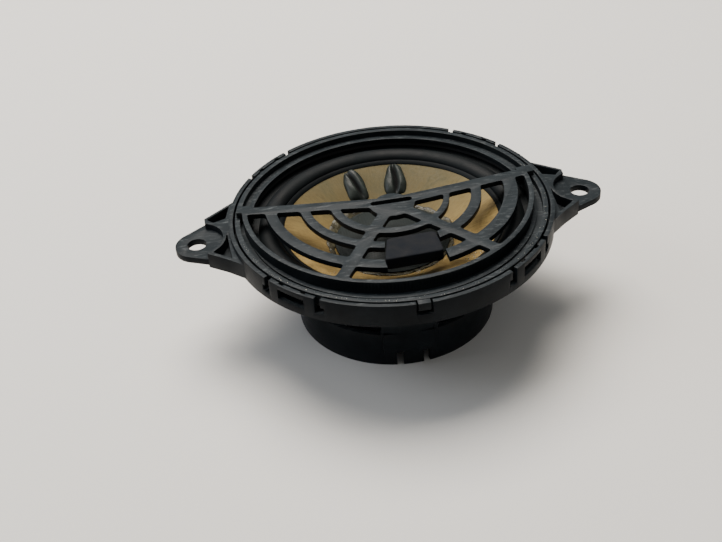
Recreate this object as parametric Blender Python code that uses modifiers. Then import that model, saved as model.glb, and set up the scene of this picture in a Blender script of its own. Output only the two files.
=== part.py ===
"""Round car dash speaker: a plastic basket with two mounting ears, a front grille
with a half web, a paper cone on a rubber surround, and the motor in the rear cup.

The speaker stands on the rim of its rear cup, facing up. +Z is the cone's travel,
+X runs through the two mounting ears, and -Y is the side that carries the web.
"""
import math

import bmesh
import bpy
from mathutils import Matrix, Vector

MM = 0.001
GAP = 0.3

# Basket: skirt, seat flange, struts and rear cup
RIM_R = 42.3
RIM_WALL = 1.1
RIM_TOP = 31.5
FLANGE_BOTTOM = 25.4
FLANGE_TOP = 26.6
FLANGE_IN_R = 33.9
CUP_R = 26.6
CUP_TOP_R = 27.0
CUP_WALL = 1.4
CUP_TOP = 10.2
CUP_FLOOR_BOTTOM = 4.6
CUP_FLOOR_TOP = 6.0
VENT_R = 4.0
LEDGE_IN_R = 24.2
LEDGE_OUT_R = 30.2
LEDGE_BOTTOM = 15.4
LEDGE_TOP = 16.8
STRUT_ANGLES = (0.0, 90.0, 180.0, 268.0)
STRUT_WIDTHS = (11.0, 13.0, 11.0, 14.5)
STRUT_IN_R = 8.0
STRUT_OUT_R = 50.0
STRUT_TOP = 34.0
BOWL_TOP = FLANGE_BOTTOM + 0.7
BOWL_BOTTOM = CUP_TOP - 0.8
BOWL_OUT_R = FLANGE_IN_R + 1.8
BOWL_IN_R = FLANGE_IN_R + 0.35
BOWL_FOOT_OUT_R = CUP_TOP_R - 0.2
BOWL_FOOT_IN_R = CUP_TOP_R - CUP_WALL + 0.3
CUP_SLIT_ANGLES = (-97.7, -82.7)
CUP_SLIT_W = 1.7
CUP_SLIT_TOP = 4.2
CUT_INWARD = 3.0
CUT_OUTWARD = 2.0
TURN_STEPS = 96

# Mounting ears
EAR_HOLE_X = 51.0
EAR_HOLE_R = 2.5
EAR_TIP_R = 5.6
EAR_BOTTOM = 26.3
EAR_TOP = 28.0
EAR_STEP_R = 7.0
EAR_BODY_TOP = 29.8
EAR_POCKET_FLOOR = 26.9
EAR_TIP_ARC = (-68.0, 58.0)
EAR_STEP_ARC = (249.0, 112.0)
EAR_ROOT_HALF = 20.0
EAR_POCKET_ARC = (181.0, 229.0)
EAR_POCKET_WALL = 0.8
EAR_POCKET_CORNER = (42.9, -0.2)
EAR_BACK_CORNER = (48.5, 8.6)
EAR_BACK_ROOT = (40.6, 14.9)
EAR_FRONT_ROOT = (39.6, -14.6)
EAR_FRONT_BEND = (48.4, -7.4)
EAR_BACK_POCKET = [(47.9, 8.2), (41.6, 13.3), (42.9, 7.6), (46.2, 6.3)]
EAR_FRONT_POCKET = [(46.9, -7.0), (45.6, -8.2), (42.3, -10.9), (42.6, -6.4)]

# Snap latches and key in the skirt
SLOT_ANGLE = 34.5
SLOT_ANGLE_FAR = 55.5
SLOT_W = 1.6
WINDOW_W = 8.0
WINDOW_BOTTOM = 27.4
WINDOW_TOP = 30.2
KEY_ANGLE = -89.3
KEY_W = 3.0
KEY_NOTCH_W = 4.0
KEY_BOTTOM = 28.6
KEY_NOTCH_BOTTOM = KEY_BOTTOM - 0.4
KEY_SOLID_BOTTOM = KEY_BOTTOM + 0.7

# Front grille
GRILLE_R = 40.6
GRILLE_LEDGE_R = 39.3
GRILLE_BOTTOM = 29.2
CHANNEL_FLOOR = 29.9
RIDGE_R = 37.7
RIDGE_TOP = 30.4
GRILLE_IN_R = 36.6
WALL_CENTRE = Vector((-0.35, 2.95, 0.0))
WALL_OUT_R = 38.1
WALL_IN_R = 36.85
WALL_FLOOR_START = 190.0
WALL_FLOOR_END = 358.0
WALL_TRIM = 2.0
WALL_STEPS = 66
WEB_ROOT_LAP = 0.8
WEB_TOP = 33.2
WEB_T = 1.4
HUB = Vector((0.2, -1.3, 0.0))
HUB_R = 5.9
HUB_BACK_R = 4.6
HUB_BACK_ARC = (40.0, 140.0)
WEB_GAPS = (
    ((HUB, HUB_R), (Vector((0.3, 1.3, 0.0)), 13.8)),
    ((Vector((-0.1, 0.9, 0.0)), 15.6), (Vector((0.2, 2.9, 0.0)), 21.4)),
    ((Vector((0.33, 2.8, 0.0)), 23.9), (Vector((0.35, 4.1, 0.0)), 30.1)),
    ((Vector((0.7, 3.8, 0.0)), 33.2), (WALL_CENTRE, WALL_IN_R)))
ARM_ANGLES = (171.5, 239.0, 309.5, 369.5)
ARM_HALF = 1.55
SLOT_LENGTH = 10.4
SLOT_WIDTH = 1.8
SLOT_BACK = 0.9
SLOT_TURN = 1.0

# Damping block
BLOCK_X = 2.1
BLOCK_Y = -20.3
BLOCK_W = 13.6
BLOCK_D = 8.7
BLOCK_BOTTOM = 29.5
BLOCK_TOP = 32.9
BLOCK_TURN = 3.0
BLOCK_NOTCH = 5.6
BLOCK_FLARE = 1.3
BLOCK_TAPER = 1.0

# Surround, gasket and cone
SEAT_IN_R = 36.2
SEAT_OUT_R = 40.4
SEAT_BOTTOM = FLANGE_TOP + GAP
SURROUND_T = 0.6
ROLL_OUT_R = 34.6
ROLL_IN_R = 29.9
ROLL_HEIGHT = 1.7
CONE_R = 29.3
CONE_TOP = 27.4
NECK_R = 12.8
NECK_Z = 19.2
CONE_T = 0.6
CAP_R = 15.2
CAP_HEIGHT = 3.6
CAP_T = 0.5

# Motor
POLE_R = 11.7
PLATE_R = 22.0
PLATE_BOTTOM = CUP_FLOOR_TOP + GAP
PLATE_T = 2.7
MAGNET_R = 22.8
MAGNET_IN_R = 15.4
MAGNET_T = 4.6
TOP_PLATE_T = 2.4
TOP_PLATE_R = 21.6
TOP_PLATE_HOLE_R = 13.7
FORMER_IN_R = 12.2
FORMER_T = 0.3
FORMER_BOTTOM = 11.2
FORMER_TOP = 20.4
COIL_T = 0.4
COIL_LENGTH = 5.0
SPIDER_IN_R = FORMER_IN_R + FORMER_T + GAP
SPIDER_OUT_R = 27.4
SPIDER_Z = LEDGE_TOP + GAP
SPIDER_T = 0.5
SPIDER_WAVES = 3
SPIDER_WAVE = 0.55
SPIDER_FLAT = 1.0

# Leads and connector
LEAD_R = 0.45
LEAD_XS = (-7.2, 4.7)
DAB_Y = 23.4
DAB_LENGTH = 8.4
DAB_WIDTH = 5.4
DAB_HEIGHT = 1.7
BOARD_Y = 33.2
BOARD_W = 18.0
BOARD_D = 3.0
BOARD_BOTTOM = 11.0
BOARD_TOP = 20.0
BLADE_X = 5.5
BLADE_W = 2.8
BLADE_T = 0.8
BLADE_LENGTH = 14.0
BLADE_Z = 15.3
BLADE_CLEAR = 0.6
LEAD_START_Y = 18.6
LEAD_CONE_R = 19.2
LEAD_END_X = 8.4
LEAD_END_RISE = 1.1
LEAD_SAG = 1.32
BRACKET_SIZE = (8.0, 3.4, 4.8)
BRACKET_Z = 17.4
SCREEN_R = VENT_R + 2.4
SCREEN_T = 0.6

for old in list(bpy.data.objects):
    bpy.data.objects.remove(old, do_unlink=True)

part = bpy.data.collections.new("car_dash_speaker")
cutters = bpy.data.collections.new("cutters")
bpy.context.scene.collection.children.link(part)
bpy.context.scene.collection.children.link(cutters)


def material(name, colour, roughness, metallic=0.0):
    mat = bpy.data.materials.new(name)
    mat.use_nodes = True
    shader = mat.node_tree.nodes["Principled BSDF"]
    shader.inputs["Base Color"].default_value = (*colour, 1.0)
    shader.inputs["Roughness"].default_value = roughness
    shader.inputs["Metallic"].default_value = metallic
    mat.diffuse_color = (*colour, 1.0)
    return mat


def place(obj, collection):
    """Link an object; a cutter is hidden from the render and drawn as wire."""
    collection.objects.link(obj)
    if collection is cutters:
        obj.hide_render = True
        obj.display_type = "WIRE"
    return obj


def smooth(obj, degrees=35.0):
    obj.data.shade_smooth()
    obj.data.set_sharp_from_angle(angle=math.radians(degrees))


def turned(name, profile, steps, collection, closed=True):
    """Turn a profile of (radius, height) pairs about the vertical axis."""
    mesh = bpy.data.meshes.new(name)
    points = [(r * MM, 0.0, z * MM) for r, z in profile]
    edges = [(i, i + 1) for i in range(len(points) - 1)]
    if closed:
        edges.append((len(points) - 1, 0))
    mesh.from_pydata(points, edges, [])
    obj = place(bpy.data.objects.new(name, mesh), collection)
    screw = obj.modifiers.new("turn", "SCREW")
    screw.axis = "Z"
    screw.angle = math.tau
    screw.steps = steps
    screw.render_steps = steps
    screw.use_merge_vertices = True
    screw.merge_threshold = 0.00001
    screw.use_smooth_shade = True
    return obj


def prism(name, outlines, bottom, top, collection):
    """Raise flat outlines between two heights; inner outlines become holes."""
    curve = bpy.data.curves.new(name, "CURVE")
    curve.dimensions = "2D"
    curve.fill_mode = "BOTH"
    curve.extrude = (top - bottom) * 0.5 * MM
    for outline in outlines:
        spline = curve.splines.new("POLY")
        spline.points.add(len(outline) - 1)
        for point, (x, y) in zip(spline.points, outline):
            point.co = (x * MM, y * MM, 0.0, 1.0)
        spline.use_cyclic_u = True
    source = bpy.data.objects.new(name + "_outline", curve)
    bpy.context.scene.collection.objects.link(source)
    source.location.z = (top + bottom) * 0.5 * MM
    bpy.context.view_layer.update()
    graph = bpy.context.evaluated_depsgraph_get()
    mesh = bpy.data.meshes.new_from_object(source.evaluated_get(graph))
    mesh.transform(source.matrix_world)
    bpy.data.objects.remove(source, do_unlink=True)
    bm = bmesh.new()
    bm.from_mesh(mesh)
    bmesh.ops.remove_doubles(bm, verts=bm.verts, dist=0.000001)
    bmesh.ops.recalc_face_normals(bm, faces=bm.faces)
    bm.to_mesh(mesh)
    bm.free()
    mesh.name = name
    return place(bpy.data.objects.new(name, mesh), collection)


def box(name, size, centre, collection, turn=0.0, bevel=0.0):
    """A block of a given size, turned about Z round its own centre."""
    mesh = bpy.data.meshes.new(name)
    bm = bmesh.new()
    bmesh.ops.create_cube(bm, size=1.0)
    bmesh.ops.scale(bm, vec=Vector(size) * MM, verts=bm.verts)
    if bevel > 0.0:
        bmesh.ops.bevel(bm, geom=bm.edges, offset=bevel * MM, segments=2, affect="EDGES", profile=0.5)
    bmesh.ops.rotate(bm, matrix=Matrix.Rotation(math.radians(turn), 3, "Z"), verts=bm.verts)
    bmesh.ops.translate(bm, vec=Vector(centre) * MM, verts=bm.verts)
    bm.to_mesh(mesh)
    bm.free()
    return place(bpy.data.objects.new(name, mesh), collection)


def rod(name, radius, bottom, top, x, y, collection, segments=40):
    """An upright round bar."""
    mesh = bpy.data.meshes.new(name)
    bm = bmesh.new()
    bmesh.ops.create_cone(bm, cap_ends=True, segments=segments, radius1=radius * MM,
                          radius2=radius * MM, depth=(top - bottom) * MM)
    bmesh.ops.translate(bm, vec=Vector((x, y, (top + bottom) * 0.5)) * MM, verts=bm.verts)
    bm.to_mesh(mesh)
    bm.free()
    return place(bpy.data.objects.new(name, mesh), collection)


def boolean(obj, tool, operation):
    step = obj.modifiers.new(tool.name[:40], "BOOLEAN")
    step.operation = operation
    step.solver = "EXACT"
    step.object = tool


def paint(obj, mat):
    obj.data.materials.clear()
    obj.data.materials.append(mat)
    return obj


def polar(radius, degrees):
    return radius * math.cos(math.radians(degrees)), radius * math.sin(math.radians(degrees))


def arc(centre, radius, start, end, count):
    """Points along an arc given in degrees."""
    points = []
    for i in range(count + 1):
        x, y = polar(radius, start + (end - start) * i / count)
        points.append((centre[0] + x, centre[1] + y))
    return points


def radial_box(name, width, r_in, r_out, bottom, top, degrees, collection, bevel=0.0):
    """A block that lies along a radius."""
    x, y = polar((r_in + r_out) * 0.5, degrees)
    size = (r_out - r_in, width, top - bottom)
    return box(name, size, (x, y, (top + bottom) * 0.5), collection, degrees, bevel)


def ear_side(points, sign):
    """The same outline on either ear: a left ear is the right one mirrored."""
    side = [(sign * x, y) for x, y in points]
    return side if sign > 0 else side[::-1]


black_plastic = material("black_glass_filled_nylon", (0.022, 0.024, 0.025), 0.55)
grille_plastic = material("black_abs", (0.026, 0.028, 0.029), 0.48)
foam = material("closed_cell_foam", (0.02, 0.022, 0.028), 0.9)
rubber = material("butyl_rubber", (0.012, 0.012, 0.012), 0.65)
paper = material("amber_fibre_paper", (0.28, 0.2, 0.09), 0.75)
cap_cloth = material("treated_cloth", (0.03, 0.033, 0.034), 0.6)
glue = material("black_adhesive", (0.01, 0.01, 0.01), 0.25)
steel = material("zinc_plated_steel", (0.5, 0.5, 0.5), 0.35, 1.0)
ferrite = material("ferrite", (0.04, 0.04, 0.045), 0.6)
copper = material("enamelled_copper", (0.6, 0.25, 0.12), 0.35, 1.0)
kapton = material("polyimide_film", (0.45, 0.2, 0.04), 0.35)
spider_cloth = material("resin_cloth", (0.45, 0.33, 0.12), 0.85)
tin = material("tinned_brass", (0.65, 0.63, 0.58), 0.35, 1.0)
braid = material("tinsel_braid", (0.55, 0.42, 0.28), 0.5, 0.6)
felt = material("vent_gauze", (0.05, 0.05, 0.05), 0.9)

# Basket: the skirt and seat flange are the base solid, the rest is joined to it.
basket = turned("basket", [
    (RIM_R, RIM_TOP), (RIM_R, FLANGE_BOTTOM), (FLANGE_IN_R, FLANGE_BOTTOM), (FLANGE_IN_R, FLANGE_TOP),
    (RIM_R - RIM_WALL, FLANGE_TOP), (RIM_R - RIM_WALL, RIM_TOP)], TURN_STEPS, part)
paint(basket, black_plastic)

bowl = turned("bowl_wall", [
    (BOWL_OUT_R, BOWL_TOP), (BOWL_FOOT_OUT_R, BOWL_BOTTOM),
    (BOWL_FOOT_IN_R, BOWL_BOTTOM), (BOWL_IN_R, BOWL_TOP)], TURN_STEPS, cutters)
strut_space = turned("strut_space", [
    (RIM_R + 2.0, FLANGE_TOP + 1.0), (RIM_R + 2.0, CUP_TOP - 2.0),
    (CUP_R - 6.0, CUP_TOP - 2.0), (CUP_R - 6.0, FLANGE_TOP + 1.0)], 48, cutters)
for number, (angle, width) in enumerate(zip(STRUT_ANGLES, STRUT_WIDTHS), 1):
    keeper = radial_box("strut_%d" % number, width, STRUT_IN_R, STRUT_OUT_R, 0.0, STRUT_TOP,
                        angle, cutters)
    boolean(strut_space, keeper, "DIFFERENCE")
boolean(bowl, strut_space, "DIFFERENCE")
boolean(basket, bowl, "UNION")

cup = turned("cup_wall", [
    (CUP_TOP_R, CUP_TOP), (CUP_R, 0.0), (CUP_R - CUP_WALL, 0.0), (CUP_R - CUP_WALL, CUP_FLOOR_BOTTOM),
    (VENT_R, CUP_FLOOR_BOTTOM), (VENT_R, CUP_FLOOR_TOP), (CUP_TOP_R - CUP_WALL, CUP_FLOOR_TOP),
    (CUP_TOP_R - CUP_WALL, CUP_TOP)], TURN_STEPS, cutters)
boolean(basket, cup, "UNION")

bracket = box("connector_bracket", BRACKET_SIZE, (0.0, BOARD_Y - GAP - BRACKET_SIZE[1] * 0.5, BRACKET_Z),
              cutters)
boolean(basket, bracket, "UNION")

ledge = turned("spider_ledge", [
    (LEDGE_OUT_R, LEDGE_TOP), (LEDGE_OUT_R - 0.7, LEDGE_BOTTOM),
    (LEDGE_IN_R, LEDGE_BOTTOM), (LEDGE_IN_R, LEDGE_TOP)],
    TURN_STEPS, cutters)
boolean(basket, ledge, "UNION")

for side, sign in (("right", 1.0), ("left", -1.0)):
    hole_centre = (EAR_HOLE_X, 0.0)
    root = arc((0.0, 0.0), RIM_R - 0.5, EAR_ROOT_HALF, -EAR_ROOT_HALF, 8)
    plate_outline = arc(hole_centre, EAR_TIP_R, *EAR_TIP_ARC, 14) + [EAR_BACK_CORNER, EAR_BACK_ROOT] \
        + root + [EAR_FRONT_ROOT, EAR_FRONT_BEND]
    plate = prism("ear_plate_" + side, [ear_side(plate_outline, sign)], EAR_BOTTOM, EAR_TOP, cutters)
    boolean(basket, plate, "UNION")
    body_outline = arc(hole_centre, EAR_STEP_R, *EAR_STEP_ARC, 12) + [EAR_BACK_CORNER, EAR_BACK_ROOT] \
        + root + [EAR_FRONT_ROOT, EAR_FRONT_BEND]
    body = prism("ear_body_" + side, [ear_side(body_outline, sign)],
                 FLANGE_BOTTOM + 0.2, EAR_BODY_TOP, cutters)
    boolean(basket, body, "UNION")
    back_pocket = prism("ear_back_pocket_" + side, [ear_side(EAR_BACK_POCKET, sign)],
                        EAR_POCKET_FLOOR, EAR_BODY_TOP + 1.0, cutters)
    boolean(basket, back_pocket, "DIFFERENCE")
    front_outline = [EAR_POCKET_CORNER] \
        + arc(hole_centre, EAR_STEP_R + EAR_POCKET_WALL, *EAR_POCKET_ARC, 8) + EAR_FRONT_POCKET
    front_pocket = prism("ear_front_pocket_" + side, [ear_side(front_outline, sign)],
                         EAR_POCKET_FLOOR, EAR_BODY_TOP + 1.0, cutters)
    boolean(basket, front_pocket, "DIFFERENCE")
    hole = rod("ear_hole_" + side, EAR_HOLE_R, EAR_BOTTOM - 2.0, EAR_TOP + 3.0,
               sign * EAR_HOLE_X, 0.0, cutters)
    boolean(basket, hole, "DIFFERENCE")

for quarter in range(4):
    base = 90.0 * quarter
    for label, angle in (("near", SLOT_ANGLE), ("far", SLOT_ANGLE_FAR)):
        slot = radial_box("latch_slot_%s_%d" % (label, quarter), SLOT_W, RIM_R - CUT_INWARD,
                          RIM_R + CUT_OUTWARD, FLANGE_TOP + 0.6, RIM_TOP + 2.0, base + angle, cutters)
        boolean(basket, slot, "DIFFERENCE")
    window = radial_box("latch_window_%d" % quarter, WINDOW_W, RIM_R - CUT_INWARD, RIM_R + CUT_OUTWARD,
                        WINDOW_BOTTOM, WINDOW_TOP, base + 45.0, cutters)
    boolean(basket, window, "DIFFERENCE")
notch = radial_box("key_notch", KEY_NOTCH_W, RIM_R - CUT_INWARD, RIM_R + CUT_OUTWARD, KEY_NOTCH_BOTTOM,
                   RIM_TOP + 2.0, KEY_ANGLE, cutters)
boolean(basket, notch, "DIFFERENCE")
for label, angle in zip(("left", "right"), CUP_SLIT_ANGLES):
    slit = radial_box("cup_slit_" + label, CUP_SLIT_W, CUP_R - CUT_INWARD, CUP_R + CUT_OUTWARD,
                      -1.0, CUP_SLIT_TOP, angle, cutters)
    boolean(basket, slit, "DIFFERENCE")


# Front grille: a stepped ring, a raised half wall, and the web on top of it.
def meet(start, direction, centre, radius):
    """Where a ray from a point inside a circle leaves the circle."""
    offset = start - centre
    along = offset.dot(direction)
    reach = -along + math.sqrt(along * along - offset.length_squared + radius * radius)
    return start + direction * reach


def opening(first, second, inner, outer):
    """The outline of one web opening between two arms and two circles."""
    corners = []
    for angle, side in ((first, 1.0), (second, -1.0)):
        direction = Vector((*polar(1.0, angle), 0.0))
        edge = HUB + Vector((-direction.y, direction.x, 0.0)) * ARM_HALF * side
        corners.append([meet(edge, direction, *inner), meet(edge, direction, *outer)])
    points = []
    for index, (centre, radius) in ((1, outer), (0, inner)):
        a = corners[0][index] - centre
        b = corners[1][index] - centre
        start = math.degrees(math.atan2(a.y, a.x)) % 360.0
        end = math.degrees(math.atan2(b.y, b.x)) % 360.0
        if end < start:
            end += 360.0
        count = max(4, int((end - start) / 6.0))
        run = arc((centre.x, centre.y), radius, start, end, count)
        points += run if index else run[::-1]
    return points


def block_outline(points):
    """Corners about the damping block's middle, turned with the block."""
    turn = Matrix.Rotation(math.radians(BLOCK_TURN), 3, "Z")
    middle = Vector((BLOCK_X, BLOCK_Y, 0.0))
    return [tuple((middle + turn @ Vector((x, y, 0.0))).xy) for x, y in points]


grille = turned("front_grille", [
    (GRILLE_R, RIM_TOP), (GRILLE_R, GRILLE_BOTTOM), (GRILLE_IN_R, GRILLE_BOTTOM),
    (GRILLE_IN_R, RIDGE_TOP), (RIDGE_R, RIDGE_TOP), (RIDGE_R, CHANNEL_FLOOR),
    (GRILLE_LEDGE_R, CHANNEL_FLOOR), (GRILLE_LEDGE_R, RIM_TOP)], TURN_STEPS, part)
paint(grille, grille_plastic)

end_left = ARM_ANGLES[0]
end_right = ARM_ANGLES[-1]
left_way = Vector((*polar(1.0, end_left), 0.0))
right_way = Vector((*polar(1.0, end_right), 0.0))
left_back = HUB + Vector((left_way.y, -left_way.x, 0.0)) * ARM_HALF
right_back = HUB + Vector((-right_way.y, right_way.x, 0.0)) * ARM_HALF
left_end = meet(left_back, left_way, WALL_CENTRE, WALL_OUT_R) - WALL_CENTRE
right_end = meet(right_back, right_way, WALL_CENTRE, WALL_OUT_R) - WALL_CENTRE
left_angle = math.degrees(math.atan2(left_end.y, left_end.x))
right_angle = math.degrees(math.atan2(right_end.y, right_end.x)) + 360.0
wall_outline = arc(WALL_CENTRE.xy, WALL_OUT_R, left_angle + WALL_TRIM,
                   right_angle - WALL_TRIM, WALL_STEPS) \
    + arc(WALL_CENTRE.xy, WALL_IN_R, right_angle - WALL_TRIM, left_angle + WALL_TRIM, WALL_STEPS)
half_wall = prism("grille_half_wall", [wall_outline], GRILLE_BOTTOM, WEB_TOP - 0.01, cutters)
boolean(grille, half_wall, "UNION")
floor_outline = arc((0, 0), RIDGE_R - 0.3, WALL_FLOOR_START, WALL_FLOOR_END, 60) \
    + arc(WALL_CENTRE.xy, WALL_IN_R + 0.2, WALL_FLOOR_END, WALL_FLOOR_START, 60)
wall_floor = prism("grille_wall_floor", [floor_outline], GRILLE_BOTTOM + 0.02, CHANNEL_FLOOR, cutters)
boolean(grille, wall_floor, "UNION")

hub_back = arc(HUB.xy, HUB_BACK_R, *HUB_BACK_ARC, 6)
web_outline = arc(WALL_CENTRE.xy, WALL_OUT_R, left_angle, right_angle, WALL_STEPS) + hub_back
holes = []
for first, second in zip(ARM_ANGLES, ARM_ANGLES[1:]):
    for inner_circle, outer_circle in WEB_GAPS:
        holes.append(opening(first, second, inner_circle, outer_circle))
slot_half = SLOT_LENGTH * 0.5
slot_turn = Matrix.Rotation(math.radians(SLOT_TURN), 3, "Z")
slot_corners = ((-slot_half, -0.5 * SLOT_WIDTH), (slot_half, -0.5 * SLOT_WIDTH),
                (slot_half, 0.5 * SLOT_WIDTH), (-slot_half, 0.5 * SLOT_WIDTH))
holes.append([tuple((HUB + Vector((0.0, SLOT_BACK, 0.0)) + slot_turn @ Vector((x, y, 0.0))).xy)
              for x, y in slot_corners])
web = prism("grille_web", [web_outline] + holes, WEB_TOP - WEB_T, WEB_TOP, cutters)
boolean(grille, web, "UNION")
for label, angle in (("left", end_left), ("right", end_right)):
    boss = radial_box("web_root_" + label, 2.0 * ARM_HALF, WALL_IN_R - WEB_ROOT_LAP,
                      GRILLE_LEDGE_R + WEB_ROOT_LAP,
                      GRILLE_BOTTOM + 0.2, WEB_TOP - 0.2, angle, cutters)
    boolean(grille, boss, "UNION")
pocket_left = -0.5 * BLOCK_W - BLOCK_FLARE - GAP
pocket_left_back = BLOCK_TAPER - 0.5 * BLOCK_W - GAP
pocket_right = 0.5 * BLOCK_W + GAP
pocket_front = -0.5 * BLOCK_D - GAP - BLOCK_NOTCH
pocket_back = 0.5 * BLOCK_D + GAP
pocket = prism("block_pocket", [block_outline([
    (pocket_left, pocket_front), (pocket_right, pocket_front),
    (pocket_right, pocket_back), (pocket_left_back, pocket_back), (pocket_left, -0.5 * BLOCK_D)])],
    WEB_TOP - 6.0, WEB_TOP + 6.0, cutters)
boolean(grille, pocket, "DIFFERENCE")
key = radial_box("grille_key", KEY_W, GRILLE_R - 0.8, RIM_R - 0.1, KEY_SOLID_BOTTOM, RIM_TOP - 0.1,
                 KEY_ANGLE, cutters)
boolean(grille, key, "UNION")

block = prism("damping_block", [block_outline([
    (-0.5 * BLOCK_W - BLOCK_FLARE, -0.5 * BLOCK_D), (0.5 * BLOCK_W, -0.5 * BLOCK_D),
    (0.5 * BLOCK_W, 0.5 * BLOCK_D), (BLOCK_TAPER - 0.5 * BLOCK_W, 0.5 * BLOCK_D)])],
    BLOCK_BOTTOM, BLOCK_TOP, part)
paint(block, foam)

gasket = turned("surround_gasket", [
    (SEAT_OUT_R, GRILLE_BOTTOM - GAP), (SEAT_OUT_R, SEAT_BOTTOM + SURROUND_T + GAP),
    (SEAT_IN_R + 0.9, SEAT_BOTTOM + SURROUND_T + GAP), (SEAT_IN_R + 0.9, GRILLE_BOTTOM - GAP)],
    TURN_STEPS, part)
paint(gasket, foam)


# Surround: a flat seat, a half roll and a short inner lip.
def roll(offset, reverse):
    """Points over the half roll, moved off the middle line by an offset."""
    points = []
    middle = (ROLL_OUT_R + ROLL_IN_R) * 0.5
    half = (ROLL_OUT_R - ROLL_IN_R) * 0.5
    for i in range(7):
        turn = math.pi * i / 6.0
        points.append((middle + (half + offset) * math.cos(turn),
                       SEAT_BOTTOM + SURROUND_T * 0.5 + (ROLL_HEIGHT + offset) * math.sin(turn)))
    return points[::-1] if reverse else points


half_t = SURROUND_T * 0.5
surround = turned("rubber_surround", [
    (SEAT_OUT_R, SEAT_BOTTOM + SURROUND_T), (SEAT_OUT_R, SEAT_BOTTOM), (ROLL_OUT_R - half_t, SEAT_BOTTOM)]
    + roll(-half_t, False)[1:-1]
    + [(ROLL_IN_R + half_t, SEAT_BOTTOM), (CONE_R + GAP, SEAT_BOTTOM),
       (CONE_R + GAP, SEAT_BOTTOM + SURROUND_T), (ROLL_IN_R - half_t, SEAT_BOTTOM + SURROUND_T)]
    + roll(half_t, True)[1:-1]
    + [(ROLL_OUT_R + half_t, SEAT_BOTTOM + SURROUND_T)], 60, part)
paint(surround, rubber)


def cone_height(radius):
    """Top face of the cone: a gentle flare from the neck to the edge."""
    share = (radius - NECK_R) / (CONE_R - NECK_R)
    return NECK_Z + (CONE_TOP - NECK_Z) * (share + 0.18 * share * (1.0 - share))


motion = bpy.data.objects.new("cone_travel", None)
part.objects.link(motion)
motion.location = (0.0, 0.0, NECK_Z * MM)
bpy.context.view_layer.update()


def ride(obj):
    """Hang a piece on the travel axis without moving it."""
    obj.data.transform(Matrix.Translation((0.0, 0.0, -NECK_Z * MM)))
    obj.parent = motion
    return obj


radii = [CONE_R - (CONE_R - NECK_R) * i / 4.0 for i in range(5)]
cone = turned("paper_cone", [(r, cone_height(r) - CONE_T) for r in radii]
              + [(r, cone_height(r)) for r in radii[::-1]], 60, part)
paint(ride(cone), paper)


def cap_height(radius):
    base = cone_height(CAP_R) + GAP + 0.1
    return base + CAP_HEIGHT * (1.0 - (radius / CAP_R) ** 2)


cap_radii = [CAP_R * i / 5.0 for i in range(6)]
cap = turned("dust_cap", [(r, cap_height(r) + CAP_T) for r in cap_radii]
             + [(r, cap_height(r)) for r in cap_radii[::-1]], 48, part, closed=False)
paint(ride(cap), cap_cloth)

former = turned("coil_former", [
    (FORMER_IN_R + FORMER_T, FORMER_TOP), (FORMER_IN_R + FORMER_T, FORMER_BOTTOM),
    (FORMER_IN_R, FORMER_BOTTOM), (FORMER_IN_R, FORMER_TOP)], 64, part)
paint(ride(former), kapton)

plate_z = PLATE_BOTTOM + PLATE_T
magnet_z = plate_z + GAP
top_plate_z = magnet_z + MAGNET_T + GAP
coil_middle = top_plate_z + TOP_PLATE_T * 0.5
coil_in_r = FORMER_IN_R + FORMER_T + GAP
coil_out_r = coil_in_r + COIL_T
coil_top = min(coil_middle + COIL_LENGTH * 0.5, SPIDER_Z - 0.4)
winding = turned("voice_coil", [
    (coil_out_r, coil_top), (coil_out_r, coil_middle - COIL_LENGTH * 0.5),
    (coil_in_r, coil_middle - COIL_LENGTH * 0.5), (coil_in_r, coil_top)], 64, part)
paint(ride(winding), copper)

# Motor, resting on the cup floor
yoke = turned("yoke_and_pole", [
    (POLE_R, top_plate_z + TOP_PLATE_T), (POLE_R, plate_z), (PLATE_R, plate_z), (PLATE_R, PLATE_BOTTOM),
    (VENT_R, PLATE_BOTTOM), (VENT_R, top_plate_z + TOP_PLATE_T)], 64, part)
paint(yoke, steel)
magnet = turned("ring_magnet", [
    (MAGNET_R, magnet_z + MAGNET_T), (MAGNET_R, magnet_z), (MAGNET_IN_R, magnet_z),
    (MAGNET_IN_R, magnet_z + MAGNET_T)], 64, part)
paint(magnet, ferrite)
top_plate = turned("top_plate", [
    (TOP_PLATE_R, top_plate_z + TOP_PLATE_T), (TOP_PLATE_R, top_plate_z), (TOP_PLATE_HOLE_R, top_plate_z),
    (TOP_PLATE_HOLE_R, top_plate_z + TOP_PLATE_T)], 64, part)
paint(top_plate, steel)
screen = rod("vent_screen", SCREEN_R, CUP_FLOOR_BOTTOM - GAP - SCREEN_T, CUP_FLOOR_BOTTOM - GAP,
             0.0, 0.0, part)
paint(screen, felt)


# Spider: a corrugated ring between the former and the ledge.
def wave(radius):
    share = (radius - SPIDER_IN_R - SPIDER_FLAT) / (LEDGE_IN_R - 0.4 - SPIDER_IN_R - SPIDER_FLAT)
    if share <= 0.0 or share >= 1.0:
        return 0.0
    return SPIDER_WAVE * (1.0 - math.cos(math.tau * SPIDER_WAVES * share))


spider_radii = [SPIDER_OUT_R - (SPIDER_OUT_R - SPIDER_IN_R) * i / 16.0 for i in range(17)]
spider = turned("spider", [(r, SPIDER_Z + wave(r)) for r in spider_radii]
                + [(r, SPIDER_Z + wave(r) + SPIDER_T) for r in spider_radii[::-1]], 40, part)
paint(spider, spider_cloth)

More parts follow.
